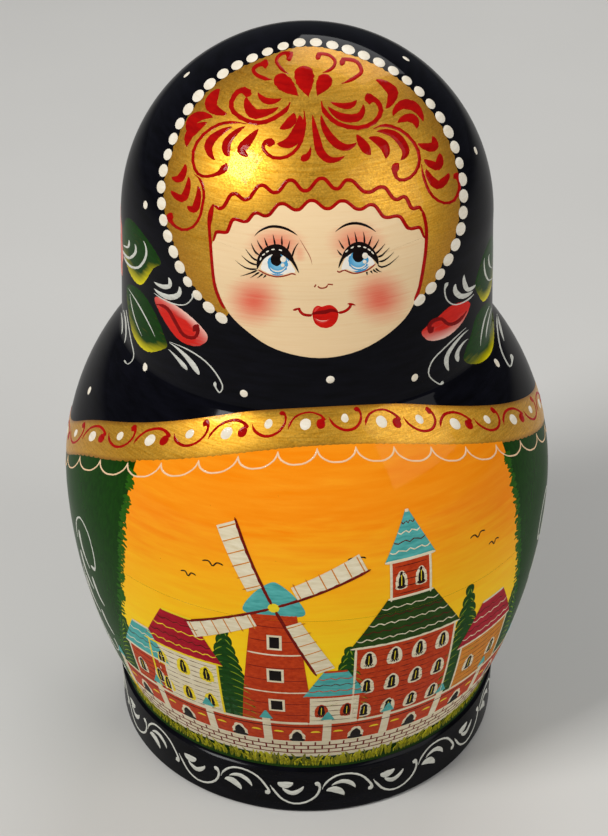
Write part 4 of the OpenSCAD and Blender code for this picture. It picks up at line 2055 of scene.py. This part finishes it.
@dataclass
class Nest:
    """The whole set: every doll is dressed with copies of the same brushwork."""

    frame: dict
    # Gap in the paint on either side of the seam
    seam_gap: float = 0.03
    # Share of the mesh density of the brushwork and faces round the axis: outermost doll, then the others
    outer_mesh: tuple[float, int] = (1.0, 160)
    inner_mesh: tuple[float, int] = (0.6, 96)
    ornaments: tuple[Ornament, ...] = (
        SideField(), Sunset(), Village(), Headdress(), Face(), Hem(), ShawlSpots(), LEFT_FLOWERS, RIGHT_FLOWERS,
        SideRose("left_rose", GirthWrap(-89.5, 191.0, 60.0, -1.0)),
        SideRose("right_rose", GirthWrap(103.0, 188.0, 60.0, 1.0)),
        *(SideScroll(name, GirthWrap(degrees, z, 84.0, mirror)) for name, degrees, z, mirror in (
            ("left_scroll", -63.0, 74.0, 1.0), ("right_scroll", 76.0, 74.0, -1.0),
            ("back_scroll_left", -112.0, 78.0, -1.0), ("back_scroll_right", 124.0, 78.0, 1.0),
            ("back_scroll", 180.0, 74.0, 1.0))), FootScroll())
    coats: dict = field(default_factory=dict)

    def split(self, coat: bpy.types.Mesh, above: bool) -> bpy.types.Mesh | None:
        """Takes the part of a coat on one side of the seam.

        Args:
            coat: The whole coat.
            above: Whether the part over the seam is wanted.

        Returns:
            The part, or nothing if there is none.
        """
        mesh = bmesh.new()
        mesh.from_mesh(coat)
        cut = FORM.seam_z + (self.seam_gap if above else -self.seam_gap)
        bmesh.ops.bisect_plane(mesh, geom=mesh.verts[:] + mesh.edges[:] + mesh.faces[:], plane_co=(0, 0, cut),
                               plane_no=(0, 0, 1), clear_inner=above, clear_outer=not above)
        made = None
        if mesh.faces:
            made = bpy.data.meshes.new(coat.name)
            mesh.to_mesh(made)
            for material in coat.materials:
                made.materials.append(material)
        mesh.free()
        return made

    def parts(self, ornament: Ornament, detail: float) -> dict[Half, bpy.types.Mesh | None]:
        """Coat of an ornament for each kind of piece, made once for each level of detail.

        Args:
            ornament: The ornament.
            detail: Share of the full mesh density.

        Returns:
            One mesh for each kind of piece, or nothing.
        """
        key = (ornament.name, detail)
        if key not in self.coats:
            whole = ornament.coat(detail)
            self.coats[key] = {Half.BOTTOM: self.split(whole, False), Half.LIP: None,
                               Half.TOP: self.split(whole, True), Half.SOLID: whole}
        return self.coats[key]

    def add(self, mesh: bpy.types.Mesh, name: str, body: str, half: Half, place: Matrix) -> bpy.types.Object:
        """Puts a copy of a mesh on a body.

        Args:
            mesh: Mesh in millimetres on the largest doll.
            name: Name of the new piece.
            body: Body that it rides on.
            half: Kind of piece; not used.
            place: Size and place of the doll.

        Returns:
            The new piece.
        """
        own = mesh.copy()
        own.name = name
        own.transform(place)
        piece = bpy.data.objects.new(name, own)
        bpy.context.scene.collection.objects.link(piece)
        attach(piece, body)
        return piece

    def dress(self, node: str, body: str, half: Half, place: Matrix, detail: float, steps: int) -> None:
        """Makes one turned piece with all its paint.

        Args:
            node: CAD node that it stands for.
            body: Body that it rides on.
            half: Kind of piece.
            place: Size and place of the doll.
            detail: Share of the full mesh density of the brushwork.
            steps: Faces round the axis.
        """
        wood = self.add(Turnery().turn(half, steps), f"{node}_wood", body, half, place)
        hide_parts(node)
        count = 0
        for ornament in self.ornaments:
            coat = self.parts(ornament, detail)[half]
            if coat:
                self.add(coat, f"{node}_{ornament.name}", body, half, place)
                count += len(coat.polygons)
        LOG.info("%s: %d faces of wood, %d of paint", node, len(wood.data.polygons), count)

    def build(self) -> None:
        """Makes every doll where the CAD says that it stands."""
        bodies = self.frame["record"]["behaviour"]["bodies"]
        owner = {node: body for body, nodes in bodies.items() for node in nodes}
        dolls: dict[str, dict[str, Half]] = {}
        for node in owner:
            half = next(kind for kind in Half if node.endswith(kind.value))
            dolls.setdefault(node.removesuffix(half.value), {})[node] = half
        for pieces in dolls.values():
            boxes = [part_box(node) for node in pieces]
            foot, crown = min(low[2] for low, _ in boxes), max(high[2] for _, high in boxes)
            place = Matrix.Translation((0, 0, foot)) @ Matrix.Scale((crown - foot) / FORM.height, 4)
            mesh = self.outer_mesh if foot < MM else self.inner_mesh
            for node, half in pieces.items():
                self.dress(node, owner[node], half, place, *mesh)


@dataclass(frozen=True)
class Softbox:
    """Square lamp, in metres and watts."""

    name: str
    at: tuple[float, float, float]
    size: float
    power: float

    def build(self, aim: Vector) -> None:
        """Adds the lamp and points it at a place.

        Args:
            aim: Place that it faces.
        """
        data = bpy.data.lights.new(self.name, "AREA")
        data.shape, data.size, data.energy = "SQUARE", self.size, self.power
        made = bpy.data.objects.new(self.name, data)
        made.location = self.at
        made.rotation_euler = (aim - Vector(self.at)).to_track_quat("-Z", "Y").to_euler()
        bpy.context.scene.collection.objects.link(made)


@dataclass(frozen=True)
class Studio:
    """Pale floor and soft lights, in metres."""

    floor_half: float = 4.0
    lamps: tuple[Softbox, ...] = (
        Softbox("key_softbox", (-1.0, -0.7, 1.35), 0.5, 22.0), Softbox("fill_softbox", (1.1, -0.7, 0.9), 1.0, 9.0),
        Softbox("back_softbox", (0.3, 1.0, 1.2), 0.9, 8.0))
    aim: tuple[float, float, float] = (0.0, 0.0, 0.13)
    sky: str = "#C4C9D2"
    sky_strength: float = 0.2

    def build(self) -> None:
        """Adds floor, lights, surroundings and camera."""
        mesh = bmesh.new()
        bmesh.ops.create_grid(mesh, x_segments=2, y_segments=2, size=self.floor_half)
        data = bpy.data.meshes.new("studio_floor")
        mesh.to_mesh(data)
        mesh.free()
        data.materials.append(FLOOR.material())
        floor = bpy.data.objects.new("studio_floor", data)
        bpy.context.scene.collection.objects.link(floor)
        for lamp in self.lamps:
            lamp.build(Vector(self.aim))
        world = bpy.data.worlds.new("studio")
        world.use_nodes = True
        ground = world.node_tree.nodes["Background"]
        ground.inputs["Color"].default_value = linear(self.sky)
        ground.inputs["Strength"].default_value = self.sky_strength
        scene = bpy.context.scene
        scene.world = world
        scene.camera = VIEW.camera()
        scene.view_settings.view_transform = "Standard"


def main() -> None:
    """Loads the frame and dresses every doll."""
    logging.basicConfig(level=logging.INFO, format="%(message)s")
    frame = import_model()
    Studio().build()
    Nest(frame).build()


if __name__ == "__main__":
    main()
